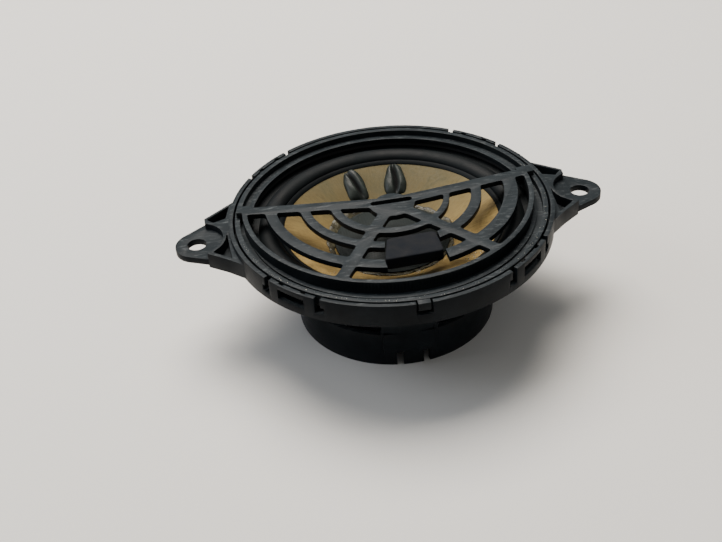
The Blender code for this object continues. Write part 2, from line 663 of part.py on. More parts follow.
# Lead dabs on the cone, tinsel leads under it, and the connector on the back strut
for label, x in zip(("left", "right"), LEAD_XS):
    mesh = bpy.data.meshes.new("lead_dab_" + label)
    bm = bmesh.new()
    bmesh.ops.create_uvsphere(bm, u_segments=16, v_segments=8, radius=0.5)
    slope = math.atan2(cone_height(DAB_Y + 4.0) - cone_height(DAB_Y - 4.0), 8.0)
    turn = math.atan2(x, DAB_Y)
    bmesh.ops.scale(bm, vec=(DAB_WIDTH * MM, DAB_LENGTH * MM, DAB_HEIGHT * MM), verts=bm.verts)
    bmesh.ops.rotate(bm, matrix=Matrix.Rotation(slope, 3, "X"), verts=bm.verts)
    bmesh.ops.rotate(bm, matrix=Matrix.Rotation(-turn, 3, "Z"), verts=bm.verts)
    height = cone_height(math.hypot(x, DAB_Y)) + DAB_HEIGHT * 0.5 + 0.55
    bmesh.ops.translate(bm, vec=Vector((x, DAB_Y, height)) * MM, verts=bm.verts)
    bm.to_mesh(mesh)
    bm.free()
    dab = place(bpy.data.objects.new("lead_dab_" + label, mesh), part)
    smooth(dab, 60.0)
    paint(ride(dab), glue)

board = box("connector_housing", (BOARD_W, BOARD_D, BOARD_TOP - BOARD_BOTTOM),
            (0.0, BOARD_Y + BOARD_D * 0.5, (BOARD_TOP + BOARD_BOTTOM) * 0.5), part, 0.0, 0.4)
paint(board, black_plastic)
for label, sign, x in (("left", -1.0, LEAD_XS[0]), ("right", 1.0, LEAD_XS[1])):
    blade_slot = box("blade_slot_" + label, (BLADE_W + BLADE_CLEAR, BLADE_T + BLADE_CLEAR, 20.0),
                     (sign * BLADE_X, BOARD_Y + BOARD_D * 0.5, 15.0), cutters)
    boolean(board, blade_slot, "DIFFERENCE")
    blade = box("terminal_blade_" + label, (BLADE_W, BLADE_T, BLADE_LENGTH),
                (sign * BLADE_X, BOARD_Y + BOARD_D * 0.5, BLADE_Z), part, 0.0, 0.15)
    paint(blade, tin)
    curve = bpy.data.curves.new("tinsel_" + label, "CURVE")
    curve.dimensions = "3D"
    curve.bevel_depth = LEAD_R * MM
    curve.bevel_resolution = 2
    curve.use_fill_caps = True
    spline = curve.splines.new("POLY")
    start = Vector((x, LEAD_START_Y, cone_height(LEAD_CONE_R) - CONE_T - GAP - LEAD_R - 0.3))
    finish = Vector((sign * LEAD_END_X, BOARD_Y + BOARD_D * 0.5, BOARD_TOP + LEAD_END_RISE))
    sag = Vector((0.0, 0.0, -LEAD_SAG))
    count = 10
    spline.points.add(count)
    for i, point in enumerate(spline.points):
        share = i / count
        place_at = start.lerp(finish, share) + sag * (4.0 * share * (1.0 - share))
        point.co = (*(place_at * MM), 1.0)
    source = bpy.data.objects.new("tinsel_path_" + label, curve)
    bpy.context.scene.collection.objects.link(source)
    bpy.context.view_layer.update()
    graph = bpy.context.evaluated_depsgraph_get()
    mesh = bpy.data.meshes.new_from_object(source.evaluated_get(graph))
    bpy.data.objects.remove(source, do_unlink=True)
    bm = bmesh.new()
    bm.from_mesh(mesh)
    bmesh.ops.remove_doubles(bm, verts=bm.verts, dist=0.000001)
    bmesh.ops.recalc_face_normals(bm, faces=bm.faces)
    bm.to_mesh(mesh)
    bm.free()
    lead = place(bpy.data.objects.new("tinsel_lead_" + label, mesh), part)
    smooth(lead, 60.0)
    paint(lead, braid)
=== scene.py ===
"""Looks of the car dash speaker: finer surfaces and materials over the CAD frame.

Lengths in this file are in millimetres in the row frame unless a name says otherwise.
"""

import math

import bmesh
import bpy
import numpy as np
from mathutils import Matrix, Vector


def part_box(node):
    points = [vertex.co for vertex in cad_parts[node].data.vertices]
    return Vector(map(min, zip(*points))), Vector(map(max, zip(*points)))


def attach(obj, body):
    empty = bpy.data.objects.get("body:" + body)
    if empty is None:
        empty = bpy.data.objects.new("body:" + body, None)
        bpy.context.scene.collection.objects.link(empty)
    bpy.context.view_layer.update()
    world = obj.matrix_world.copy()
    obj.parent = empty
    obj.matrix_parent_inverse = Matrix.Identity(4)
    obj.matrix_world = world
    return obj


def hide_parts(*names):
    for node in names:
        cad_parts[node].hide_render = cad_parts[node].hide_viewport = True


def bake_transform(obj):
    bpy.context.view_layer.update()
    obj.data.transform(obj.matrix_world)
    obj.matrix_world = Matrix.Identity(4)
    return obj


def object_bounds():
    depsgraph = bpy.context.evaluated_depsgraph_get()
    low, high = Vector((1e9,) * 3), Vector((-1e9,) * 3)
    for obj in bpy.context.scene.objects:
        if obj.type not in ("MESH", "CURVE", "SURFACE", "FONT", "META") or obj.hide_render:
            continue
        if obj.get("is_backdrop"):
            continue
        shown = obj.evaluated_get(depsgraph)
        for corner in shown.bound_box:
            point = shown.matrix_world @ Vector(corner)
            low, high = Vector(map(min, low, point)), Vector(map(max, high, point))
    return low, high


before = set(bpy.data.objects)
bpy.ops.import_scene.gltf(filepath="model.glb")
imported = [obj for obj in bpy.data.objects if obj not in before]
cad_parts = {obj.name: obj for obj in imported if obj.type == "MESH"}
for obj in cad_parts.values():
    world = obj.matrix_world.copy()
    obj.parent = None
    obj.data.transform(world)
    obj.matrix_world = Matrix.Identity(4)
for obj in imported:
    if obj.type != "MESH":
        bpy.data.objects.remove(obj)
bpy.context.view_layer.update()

MM = 0.001
RIM_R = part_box("basket")[1].y / MM
RIM_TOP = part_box("basket")[1].z / MM
WEB_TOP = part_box("front_grille")[1].z / MM
CONE_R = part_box("paper_cone")[1].x / MM
CONE_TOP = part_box("paper_cone")[1].z / MM
EAR_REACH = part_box("basket")[1].x / MM

RIM_WALL = 1.1
FLANGE_BOTTOM = 25.4
FLANGE_TOP = 26.6
FLANGE_IN_R = 33.9
CUP_R = 26.6
CUP_TOP_R = 27.0
CUP_WALL = 1.4
CUP_TOP = 10.2
CUP_FLOOR_BOTTOM = 4.6
CUP_FLOOR_TOP = 6.0
VENT_R = 4.0
LEDGE_IN_R = 24.2
LEDGE_OUT_R = 30.2
LEDGE_BOTTOM = 15.4
LEDGE_TOP = 16.8
STRUTS = ((0.0, 11.0), (90.0, 13.0), (180.0, 11.0), (268.0, 14.5))

EAR_HOLE_X = 51.0
EAR_HOLE_R = 2.5
EAR_TIP_R = EAR_REACH - EAR_HOLE_X
EAR_BOTTOM = 26.3
EAR_TOP = 28.0
EAR_STEP_R = 7.0
EAR_BODY_TOP = 29.8
EAR_POCKET_FLOOR = 26.9
EAR_BACK_CORNER = (48.5, 8.6)
EAR_BACK_ROOT = (40.6, 14.9)
EAR_FRONT_ROOT = (39.6, -14.6)
EAR_FRONT_BEND = (48.4, -7.4)
EAR_BACK_POCKET = [(47.9, 8.2), (41.6, 13.3), (42.9, 7.6), (46.2, 6.3)]
EAR_FRONT_POCKET = [(46.9, -7.0), (45.6, -8.2), (42.3, -10.9), (42.6, -6.4)]

GRILLE_R = 40.6
GRILLE_LEDGE_R = 39.3
GRILLE_BOTTOM = 29.2
CHANNEL_FLOOR = 29.9
RIDGE_R = 37.7
RIDGE_TOP = 30.4
GRILLE_IN_R = 36.6
WALL_CENTRE = Vector((-0.35, 2.95, 0.0))
WALL_OUT_R = 38.1
WALL_IN_R = 36.85
WALL_FLOOR_START = 190.0
WALL_FLOOR_END = 358.0
WEB_T = 1.4
HUB = Vector((0.2, -1.3, 0.0))
HUB_R = 5.9
WEB_GAPS = (
    ((HUB, HUB_R), (Vector((0.3, 1.3, 0.0)), 13.8)),
    ((Vector((-0.1, 0.9, 0.0)), 15.6), (Vector((0.2, 2.9, 0.0)), 21.4)),
    ((Vector((0.33, 2.8, 0.0)), 23.9), (Vector((0.35, 4.1, 0.0)), 30.1)),
    ((Vector((0.7, 3.8, 0.0)), 33.2), (WALL_CENTRE, WALL_IN_R)))
ARM_ANGLES = (171.5, 239.0, 309.5, 369.5)
ARM_HALF = 1.55
BLOCK_CENTRE = (2.1, -20.3)
BLOCK_SIZE = (13.6, 8.7)
BLOCK_TURN = 3.0
BLOCK_NOTCH = 5.6
BLOCK_FLARE = 1.3
BLOCK_TAPER = 1.0
BLOCK_GAP = 0.2

NECK_R = 12.8
NECK_Z = 19.2
CAP_R = 15.2
ROUND = 256


def linear(hex_colour):
    """An sRGB hex colour as linear RGBA."""
    parts = np.array([int(hex_colour[i:i + 2], 16) / 255.0 for i in (1, 3, 5)])
    out = np.where(parts <= 0.04045, parts / 12.92, ((parts + 0.055) / 1.055) ** 2.4)
    return (*out.tolist(), 1.0)


def every(mm):
    """Pattern scale for one repeat in this many millimetres, on coordinates in metres."""
    return 1.0 / (mm * MM)


def add(tree, kind, sockets=None, stops=None, **settings):
    """Adds one node. settings are its own properties, each socket gets a value or a link, and
    stops are a ramp's (position, hex colour) pairs."""
    node = tree.nodes.new(kind)
    for key, value in settings.items():
        setattr(node, key, value)
    for socket, value in (sockets or {}).items():
        if isinstance(value, bpy.types.NodeSocket):
            tree.links.new(value, node.inputs[socket])
        else:
            node.inputs[socket].default_value = value
    for index, (position, colour) in enumerate(stops or ()):
        elements = node.color_ramp.elements
        element = elements[index] if index < 2 else elements.new(position)
        element.position = position
        element.color = linear(colour)
    return node


def surface(name, roughness, metallic=0.0, **sockets):
    """A Principled material with its constant sockets set, ready for maps to be linked."""
    mat = bpy.data.materials.new(name)
    mat.use_nodes = True
    shader = mat.node_tree.nodes["Principled BSDF"]
    shader.inputs["Roughness"].default_value = roughness
    shader.inputs["Metallic"].default_value = metallic
    for socket, value in sockets.items():
        shader.inputs[socket.replace("_", " ")].default_value = value
    place = add(mat.node_tree, "ShaderNodeTexCoord").outputs["Object"]
    return mat, mat.node_tree, shader, place


def link_maps(tree, shader, colour, roughness, normal):
    """Gives the shader its colour, roughness and normal maps."""
    for socket, source in (("Base Color", colour), ("Roughness", roughness), ("Normal", normal)):
        tree.links.new(source, shader.inputs[socket])


def moulded_plastic(name, base, worn, dust, film, rough):
    """Injection-moulded black nylon: spark-eroded grain, scuffs that run one way, and pale dust
    that lies only on faces that look up. Gives a used, slightly satin black."""
    mat, tree, shader, place = surface(name, rough, Specular_IOR_Level=0.06)
    patches = add(tree, "ShaderNodeTexNoise", {
        "Vector": place, "Scale": every(9.0), "Detail": 5.0, "Roughness": 0.6}).outputs["Fac"]
    run = add(tree, "ShaderNodeMapping", {
        "Vector": place, "Rotation": (0.0, 0.0, 0.9), "Scale": (0.22, 1.0, 0.6)}).outputs["Vector"]
    scuffs = add(tree, "ShaderNodeTexNoise", {
        "Vector": run, "Scale": every(0.8), "Detail": 6.0, "Roughness": 0.7, "Distortion": 0.5}).outputs["Fac"]
    scuffed = add(tree, "ShaderNodeMapRange", {
        "Value": scuffs, "From Min": 0.54, "From Max": 0.72, "To Min": 0.0, "To Max": 0.9}).outputs["Result"]
    specks = add(tree, "ShaderNodeTexNoise", {
        "Vector": place, "Scale": every(0.55), "Detail": 3.0, "Roughness": 0.75}).outputs["Fac"]
    speckled = add(tree, "ShaderNodeMapRange", {
        "Value": specks, "From Min": 0.68, "From Max": 0.76, "To Min": 0.0, "To Max": 0.8}).outputs["Result"]
    tint = add(tree, "ShaderNodeValToRGB", {"Fac": patches}, ((0.35, base), (0.7, worn))).outputs["Color"]
    normal = add(tree, "ShaderNodeNewGeometry").outputs["Normal"]
    facing = add(tree, "ShaderNodeSeparateXYZ", {"Vector": normal}).outputs["Z"]
    upward = add(tree, "ShaderNodeMapRange", {
        "Value": facing, "From Min": 0.35, "From Max": 0.97, "To Min": 0.0, "To Max": film}).outputs["Result"]
    cover = add(tree, "ShaderNodeMapRange", {
        "Value": patches, "From Min": 0.3, "From Max": 0.75, "To Min": 0.7, "To Max": 1.0}).outputs["Result"]
    settled = add(tree, "ShaderNodeMath", {0: upward, 1: cover}, operation="MULTIPLY").outputs[0]
    dusty = add(tree, "ShaderNodeMix", {0: settled, 6: tint, 7: linear(dust)}, data_type="RGBA").outputs[2]
    rub = add(tree, "ShaderNodeMath", {0: upward, 1: scuffed}, operation="MULTIPLY").outputs[0]
    rubbed = add(tree, "ShaderNodeMix", {0: rub, 6: dusty, 7: linear("#8b9091")}, data_type="RGBA").outputs[2]
    dots = add(tree, "ShaderNodeMath", {0: upward, 1: speckled}, operation="MULTIPLY").outputs[0]
    colour = add(tree, "ShaderNodeMix", {0: dots, 6: rubbed, 7: linear("#a9aba6")}, data_type="RGBA").outputs[2]
    rough_map = add(tree, "ShaderNodeMapRange", {
        "Value": patches, "From Min": 0.3, "From Max": 0.75, "To Min": rough - 0.05,
        "To Max": rough + 0.07}).outputs["Result"]
    grain = add(tree, "ShaderNodeTexNoise", {
        "Vector": place, "Scale": every(0.28), "Detail": 3.0, "Roughness": 0.6}).outputs["Fac"]
    first = add(tree, "ShaderNodeBump", {"Height": grain, "Strength": 0.5, "Distance": 0.00003}).outputs["Normal"]
    second = add(tree, "ShaderNodeBump", {
        "Height": scuffs, "Strength": 0.35, "Distance": 0.00006, "Normal": first}).outputs["Normal"]
    link_maps(tree, shader, colour, rough_map, second)
    return mat


def fibre_paper(name):
    """Resin-soaked wood-pulp paper: amber, blotched with olive, with radial fibres and a thin
    gloss of resin, and painted shade that darkens it to a dark olive toward its back."""
    mat, tree, shader, place = surface(name, 0.5, Specular_IOR_Level=0.08)
    along = add(tree, "ShaderNodeTexCoord").outputs["UV"]
    blotch = add(tree, "ShaderNodeTexNoise", {
        "Vector": place, "Scale": every(7.0), "Detail": 6.0, "Roughness": 0.65, "Distortion": 0.8}).outputs["Fac"]
    lengthwise = add(tree, "ShaderNodeMapping", {
        "Vector": along, "Scale": (1.0, 0.12, 1.0)}).outputs["Vector"]
    fibres = add(tree, "ShaderNodeTexNoise", {
        "Vector": lengthwise, "Scale": every(0.45), "Detail": 5.0, "Roughness": 0.7,
        "Distortion": 1.4}).outputs["Fac"]
    pulp = add(tree, "ShaderNodeTexNoise", {
        "Vector": place, "Scale": every(0.7), "Detail": 4.0, "Roughness": 0.7}).outputs["Fac"]
    ground = add(tree, "ShaderNodeValToRGB", {"Fac": blotch}, (
        (0.28, "#4a3c22"), (0.45, "#77623a"), (0.6, "#8d7748"), (0.78, "#655835"))).outputs["Color"]
    strands = add(tree, "ShaderNodeValToRGB", {"Fac": fibres}, (
        (0.3, "#33291a"), (0.6, "#b39a62"))).outputs["Color"]
    share = add(tree, "ShaderNodeMapRange", {
        "Value": fibres, "From Min": 0.3, "From Max": 0.7, "To Min": 0.35, "To Max": 0.16}).outputs["Result"]
    paper = add(tree, "ShaderNodeMix", {0: share, 6: ground, 7: strands}, data_type="RGBA").outputs[2]
    # Painted shade: toward the cone's back (larger Y) the colour darkens to a dark olive, unevenly with the
    # blotches.
    depth = add(tree, "ShaderNodeSeparateXYZ", {"Vector": place}).outputs["Y"]
    far = add(tree, "ShaderNodeMapRange", {
        "Value": depth, "From Min": -6.0 * MM, "From Max": 20.0 * MM, "To Min": 0.0,
        "To Max": 0.85}).outputs["Result"]
    uneven = add(tree, "ShaderNodeMapRange", {
        "Value": blotch, "From Min": 0.35, "From Max": 0.65, "To Min": 0.75, "To Max": 1.1}).outputs["Result"]
    painted_back_shade = add(tree, "ShaderNodeMath", {0: far, 1: uneven}, operation="MULTIPLY", use_clamp=True).outputs[0]
    colour = add(tree, "ShaderNodeMix", {0: painted_back_shade, 6: paper, 7: linear("#454330")}, data_type="RGBA").outputs[2]
    gloss = add(tree, "ShaderNodeMapRange", {
        "Value": pulp, "From Min": 0.3, "From Max": 0.7, "To Min": 0.36, "To Max": 0.66}).outputs["Result"]
    first = add(tree, "ShaderNodeBump", {"Height": fibres, "Strength": 0.6, "Distance": 0.0001}).outputs["Normal"]
    second = add(tree, "ShaderNodeBump", {
        "Height": pulp, "Strength": 0.6, "Distance": 0.00008, "Normal": first}).outputs["Normal"]
    link_maps(tree, shader, colour, gloss, second)
    return mat


def mottled(name, dark, light, patch_mm, rough, grain_mm, depth, metallic=0.0, stretch=(1.0, 1.0, 1.0),
            **sockets):
    """A finish with slow colour patches and a fine grain that may be drawn out one way: bloom on
    rubber, pits in foam, ripples in glue, or lathe lines in metal."""
    mat, tree, shader, place = surface(name, rough, metallic, **sockets)
    cloud = add(tree, "ShaderNodeTexNoise", {
        "Vector": place, "Scale": every(patch_mm), "Detail": 5.0, "Roughness": 0.6,
        "Distortion": 0.3}).outputs["Fac"]
    drawn = add(tree, "ShaderNodeMapping", {"Vector": place, "Scale": stretch}).outputs["Vector"]
    grain = add(tree, "ShaderNodeTexNoise", {
        "Vector": drawn, "Scale": every(grain_mm), "Detail": 4.0, "Roughness": 0.6}).outputs["Fac"]
    colour = add(tree, "ShaderNodeValToRGB", {"Fac": cloud}, ((0.34, dark), (0.72, light))).outputs["Color"]
    gloss = add(tree, "ShaderNodeMapRange", {
        "Value": cloud, "From Min": 0.3, "From Max": 0.7, "To Min": max(0.05, rough - 0.1),
        "To Max": rough + 0.1}).outputs["Result"]
    normal = add(tree, "ShaderNodeBump", {"Height": grain, "Strength": 0.6, "Distance": depth}).outputs["Normal"]
    link_maps(tree, shader, colour, gloss, normal)
    return mat


def crept_adhesive(name):
    """Black adhesive that crept as it cured: a dull green-grey skin, with painted shade, near black,
    down in the crease that runs along each dab. The crease depth is the mesh's own point attribute."""
    mat, tree, shader, place = surface(name, 0.5, Specular_IOR_Level=0.25)
    cloud = add(tree, "ShaderNodeTexNoise", {
        "Vector": place, "Scale": every(2.4), "Detail": 4.0, "Distortion": 0.4}).outputs["Fac"]
    skin = add(tree, "ShaderNodeValToRGB", {"Fac": cloud}, ((0.3, "#151a17"), (0.75, "#272e29"))).outputs["Color"]
    crease = add(tree, "ShaderNodeAttribute", attribute_name="crease").outputs["Fac"]
    # Painted shade: the colour goes near black where the crease is deep; the crease also raises the roughness.
    colour = add(tree, "ShaderNodeMix", {0: crease, 6: skin, 7: linear("#020303")}, data_type="RGBA").outputs[2]
    gloss = add(tree, "ShaderNodeMapRange", {
        "Value": cloud, "From Min": 0.3, "From Max": 0.7, "To Min": 0.36, "To Max": 0.6}).outputs["Result"]
    gloss = add(tree, "ShaderNodeMath", {0: gloss, 1: crease}, operation="MAXIMUM").outputs[0]
    normal = add(tree, "ShaderNodeBump", {"Height": cloud, "Strength": 0.5, "Distance": 0.0002}).outputs["Normal"]
    link_maps(tree, shader, colour, gloss, normal)
    return mat


def woven(name, thread_mm, light, dark, rough, depth, **sockets):
    """Plain-woven cloth under resin: two crossed sets of threads, the higher one showing."""
    mat, tree, shader, place = surface(name, rough, **sockets)
    threads = [add(tree, "ShaderNodeTexWave", {
        "Vector": place, "Scale": every(thread_mm) / math.tau, "Distortion": 0.6, "Detail": 1.0},
        wave_type="BANDS", bands_direction=way).outputs["Fac"] for way in "XY"]
    weave = add(tree, "ShaderNodeMath", {0: threads[0], 1: threads[1]}, operation="MAXIMUM").outputs[0]
    fade = add(tree, "ShaderNodeTexNoise", {
        "Vector": place, "Scale": every(6.0), "Detail": 4.0, "Roughness": 0.6}).outputs["Fac"]
    cloth = add(tree, "ShaderNodeValToRGB", {"Fac": weave}, ((0.2, dark), (0.9, light))).outputs["Color"]
    faded = add(tree, "ShaderNodeMapRange", {
        "Value": fade, "From Min": 0.35, "From Max": 0.7, "To Min": 0.0, "To Max": 0.7}).outputs["Result"]
    colour = add(tree, "ShaderNodeMix", {0: faded, 6: cloth, 7: linear(light)}, data_type="RGBA").outputs[2]
    gloss = add(tree, "ShaderNodeMapRange", {
        "Value": fade, "From Min": 0.3, "From Max": 0.7, "To Min": rough - 0.12,
        "To Max": rough + 0.1}).outputs["Result"]
    normal = add(tree, "ShaderNodeBump", {"Height": weave, "Strength": 0.7, "Distance": depth}).outputs["Normal"]
    link_maps(tree, shader, colour, gloss, normal)
    return mat


BASKET_PLASTIC = moulded_plastic("glass_filled_nylon_moulded", "#0d1013", "#171b1e", "#3f4649", 0.26, 0.42)
GRILLE_PLASTIC = moulded_plastic("abs_moulded_grille", "#0f1214", "#1a1e20", "#434a4e", 0.28, 0.4)
PAPER = fibre_paper("resin_soaked_pulp_paper")
# Butyl rubber keeps a faint grey bloom, so it reads softer than the plastic beside it
RUBBER = mottled("butyl_rubber_moulded", "#05080a", "#0d1315", 7.0, 0.6, 0.4, 0.00004, Specular_IOR_Level=0.12)
# Doped cloth, pressed: a grey-green dull dome on which the threads just show
CAP_CLOTH = woven("doped_cloth_pressed", 0.35, "#1c2221", "#0f1312", 0.58, 0.00004, Specular_IOR_Level=0.12)
# Phenolic resin cloth, corrugated: tan and dry
SPIDER_CLOTH = woven("resin_cloth_corrugated", 0.45, "#a98b4c", "#6f5829", 0.75, 0.00006, Sheen_Weight=0.1)
# Woven gauze, dark, to keep dust out of the vent
GAUZE = woven("woven_vent_gauze", 0.5, "#303232", "#101111", 0.8, 0.0001)
GLUE = crept_adhesive("black_adhesive_cured")
# Amber solvent glue dried in a wrinkled bead: glossy, so it glints against the dull cap
CLEAR_GLUE = mottled("amber_adhesive_bead", "#1d1b14", "#56523f", 1.6, 0.3, 0.9, 0.0002, Specular_IOR_Level=0.16)
# Flakes of dry glue and grit: pale and matt, small bright points on the dark parts
FLAKES = mottled("dry_glue_flakes", "#8b8876", "#d6d3c6", 0.8, 0.45, 0.3, 0.00003)
# Closed-cell foam with a cut skin: matt blue-black
FOAM = mottled("closed_cell_foam_cut", "#090c11", "#11151b", 3.0, 0.85, 0.3, 0.00006, Specular_IOR_Level=0.2)
GASKET_FOAM = mottled("gasket_foam_die_cut", "#0d0e0f", "#191b1b", 3.0, 0.9, 0.4, 0.00008)
# Zinc-plated turned steel: bright, with lathe lines
STEEL = mottled("zinc_plated_turned_steel", "#8f9296", "#b9bbbd", 4.0, 0.34, 0.3, 0.00003, 1.0, (1.0, 1.0, 4.0))
# Sintered ferrite: charcoal, dull, slightly pitted
FERRITE = mottled("sintered_ferrite", "#26272a", "#3a3b3e", 4.0, 0.62, 0.4, 0.00005)
# Tinned stamped brass: a soft warm silver
TIN = mottled("tinned_stamped_brass", "#a9a79f", "#cfcdc6", 3.0, 0.3, 0.4, 0.00002, 1.0, (1.0, 1.0, 0.2))
# Enamelled copper wire, close wound
COPPER = mottled("enamelled_wound_copper", "#8a4a22", "#c0713a", 3.0, 0.3, 0.3, 0.00002, 1.0)
# Polyimide film: clear amber
FILM = mottled("polyimide_film", "#7d4a12", "#a8691f", 4.0, 0.3, 0.8, 0.00002)
# Braided tinsel: dull copper over a textile core
BRAID = mottled("braided_tinsel", "#8a6a40", "#c49c66", 1.5, 0.42, 0.15, 0.00004, 0.7)


def build(name, points, faces, uv=None):
    """A mesh object from arrays: points (n, 3) in mm and quads (m, 4)."""
    mesh = bpy.data.meshes.new(name)
    points = np.asarray(points, np.float32) * MM
    faces = np.asarray(faces, np.int32)
    mesh.vertices.add(len(points))
    mesh.vertices.foreach_set("co", points.ravel())
    mesh.loops.add(faces.size)
    mesh.loops.foreach_set("vertex_index", faces.ravel())
    mesh.polygons.add(len(faces))
    mesh.polygons.foreach_set("loop_start", np.arange(0, faces.size, faces.shape[1], dtype=np.int32))
    mesh.update(calc_edges=True)
    if uv is not None:
        layer = mesh.uv_layers.new(name="mm")
        layer.data.foreach_set("uv", (np.asarray(uv, np.float32)[faces.ravel()] * MM).ravel())
    mesh.validate()
    obj = bpy.data.objects.new(name, mesh)
    bpy.context.scene.collection.objects.link(obj)
    return obj


def grid_faces(rows, columns, close_rows, close_columns):
    """Quads over a rows by columns grid, wrapping round where asked."""
    r = np.arange(rows if close_rows else rows - 1)
    c = np.arange(columns if close_columns else columns - 1)
    a, b = np.meshgrid(r, c, indexing="ij")
    a2, b2 = (a + 1) % rows, (b + 1) % columns
    return np.stack([a * columns + b, a2 * columns + b, a2 * columns + b2, a * columns + b2], -1).reshape(-1, 4)


def rounded(profile, radius, steps=3, closed=True):
    """Rounds each corner of a profile: the corner is replaced by a quadratic curve that leaves
    each side at most a given distance from the corner, or 40 percent of the side."""
    pts = np.asarray(profile, float)
    out = []
    count = len(pts)
    for i in range(count):
        if not closed and i in (0, count - 1):
            out.append(pts[i])
            continue
        before, here, after = pts[i - 1], pts[i], pts[(i + 1) % count]
        d1, d2 = np.linalg.norm(before - here), np.linalg.norm(after - here)
        k1, k2 = min(radius, 0.4 * d1) / d1, min(radius, 0.4 * d2) / d2
        start, end = here + (before - here) * k1, here + (after - here) * k2
        for t in np.linspace(0.0, 1.0, steps + 1):
            out.append((1 - t) ** 2 * start + 2 * t * (1 - t) * here + t * t * end)
    return np.array(out)


def lathe(name, profile, steps=ROUND, closed=True, wobble=None):
    """A profile of (radius, height) turned about Z: point = (r cos a, r sin a, z). The profile
    runs down the outer side; wobble(r, z, a) may add to the height."""
    profile = np.asarray(profile, float)
    angle = np.arange(steps) * math.tau / steps
    r, a = profile[:, 0][None, :], angle[:, None]
    z = np.broadcast_to(profile[:, 1][None, :], (steps, len(profile))).copy()
    if wobble is not None:
        z = z + wobble(np.broadcast_to(r, z.shape), z, np.broadcast_to(a, z.shape))
    points = np.stack([r * np.cos(a), r * np.sin(a), z], -1).reshape(-1, 3)
    run = np.concatenate([[0.0], np.cumsum(np.linalg.norm(np.diff(profile, axis=0), axis=1))])
    uv = np.stack([np.broadcast_to(a * 20.0, z.shape), np.broadcast_to(run[None, :], z.shape)], -1)
    obj = build(name, points, grid_faces(steps, len(profile), True, closed), uv.reshape(-1, 2))
    bm = bmesh.new()
    bm.from_mesh(obj.data)
    bmesh.ops.remove_doubles(bm, verts=bm.verts, dist=0.0000005)
    bmesh.ops.recalc_face_normals(bm, faces=bm.faces)
    bm.to_mesh(obj.data)
    bm.free()
    return obj


def prism(name, outlines, bottom, top):
    """Flat outlines raised between two heights; inner outlines become holes."""
    curve = bpy.data.curves.new(name, "CURVE")
    curve.dimensions = "2D"
    curve.fill_mode = "BOTH"
    curve.extrude = (top - bottom) * 0.5 * MM
    for outline in outlines:
        spline = curve.splines.new("POLY")
        spline.points.add(len(outline) - 1)
        flat = np.zeros((len(outline), 4))
        flat[:, :2] = np.asarray(outline) * MM
        flat[:, 3] = 1.0
        spline.points.foreach_set("co", flat.ravel())
        spline.use_cyclic_u = True
    source = bpy.data.objects.new(name + "_outline", curve)
    bpy.context.scene.collection.objects.link(source)
    source.location.z = (top + bottom) * 0.5 * MM
    bpy.context.view_layer.update()
    graph = bpy.context.evaluated_depsgraph_get()
    mesh = bpy.data.meshes.new_from_object(source.evaluated_get(graph))
    mesh.transform(source.matrix_world)
    bpy.data.objects.remove(source, do_unlink=True)
    bm = bmesh.new()
    bm.from_mesh(mesh)
    bmesh.ops.remove_doubles(bm, verts=bm.verts, dist=0.000001)
    bmesh.ops.recalc_face_normals(bm, faces=bm.faces)
    bm.to_mesh(mesh)
    bm.free()
    obj = bpy.data.objects.new(name, mesh)
    bpy.context.scene.collection.objects.link(obj)
    return obj


def block(name, size, centre, turn=0.0):
    """A plain block turned about Z, used to add or cut."""
    mesh = bpy.data.meshes.new(name)
    bm = bmesh.new()
    bmesh.ops.create_cube(bm, size=1.0)
    bmesh.ops.scale(bm, vec=Vector(size) * MM, verts=bm.verts)
    bmesh.ops.rotate(bm, matrix=Matrix.Rotation(math.radians(turn), 3, "Z"), verts=bm.verts)
    bmesh.ops.translate(bm, vec=Vector(centre) * MM, verts=bm.verts)
    bm.to_mesh(mesh)
    bm.free()
    obj = bpy.data.objects.new(name, mesh)
    bpy.context.scene.collection.objects.link(obj)
    return obj


def polar(radius, degrees):
    return radius * math.cos(math.radians(degrees)), radius * math.sin(math.radians(degrees))


def arc(centre, radius, start, end, count):
    """Points along an arc given in degrees, count steps long."""
    angle = np.radians(np.linspace(start, end, count + 1))
    return [(centre[0] + radius * x, centre[1] + radius * y)
            for x, y in zip(np.cos(angle).tolist(), np.sin(angle).tolist())]


def radial_block(name, width, r_in, r_out, bottom, top, degrees):
    x, y = polar((r_in + r_out) * 0.5, degrees)
    return block(name, (r_out - r_in, width, top - bottom), (x, y, (top + bottom) * 0.5), degrees)


def combine(obj, steps, edge_mm, sharp=32.0, segments=2):
    """Joins and cuts with the listed (tool, operation) pairs, then rounds the edges."""
    for tool, operation in steps:
        boolean = obj.modifiers.new(tool.name[:30], "BOOLEAN")
        boolean.operation = operation
        boolean.solver = "EXACT"
        boolean.object = tool
    bpy.context.view_layer.update()
    graph = bpy.context.evaluated_depsgraph_get()
    mesh = bpy.data.meshes.new_from_object(obj.evaluated_get(graph))
    obj.modifiers.clear()
    obj.data = mesh
    for tool, operation in steps:
        bpy.data.objects.remove(tool, do_unlink=True)
    bm = bmesh.new()
    bm.from_mesh(mesh)
    bmesh.ops.remove_doubles(bm, verts=bm.verts, dist=0.000004)
    bmesh.ops.dissolve_limit(bm, angle_limit=math.radians(0.4), verts=bm.verts, edges=bm.edges)
    bmesh.ops.holes_fill(bm, edges=[edge for edge in bm.edges if edge.is_boundary], sides=0)
    bmesh.ops.recalc_face_normals(bm, faces=bm.faces)
    bm.to_mesh(mesh)
    bm.free()
    if edge_mm > 0.0:
        bevel = obj.modifiers.new("moulded_edges", "BEVEL")
        bevel.width = edge_mm * MM
        bevel.segments = segments
        bevel.limit_method = "ANGLE"
        bevel.angle_limit = math.radians(sharp)
        bevel.use_clamp_overlap = True
        bevel.miter_outer = "MITER_ARC"
        bpy.context.view_layer.update()
        graph = bpy.context.evaluated_depsgraph_get()
        mesh = bpy.data.meshes.new_from_object(obj.evaluated_get(graph))
        obj.modifiers.clear()
        obj.data = mesh
    mesh.shade_smooth()
    mesh.set_sharp_from_angle(angle=math.radians(38.0))
    return obj


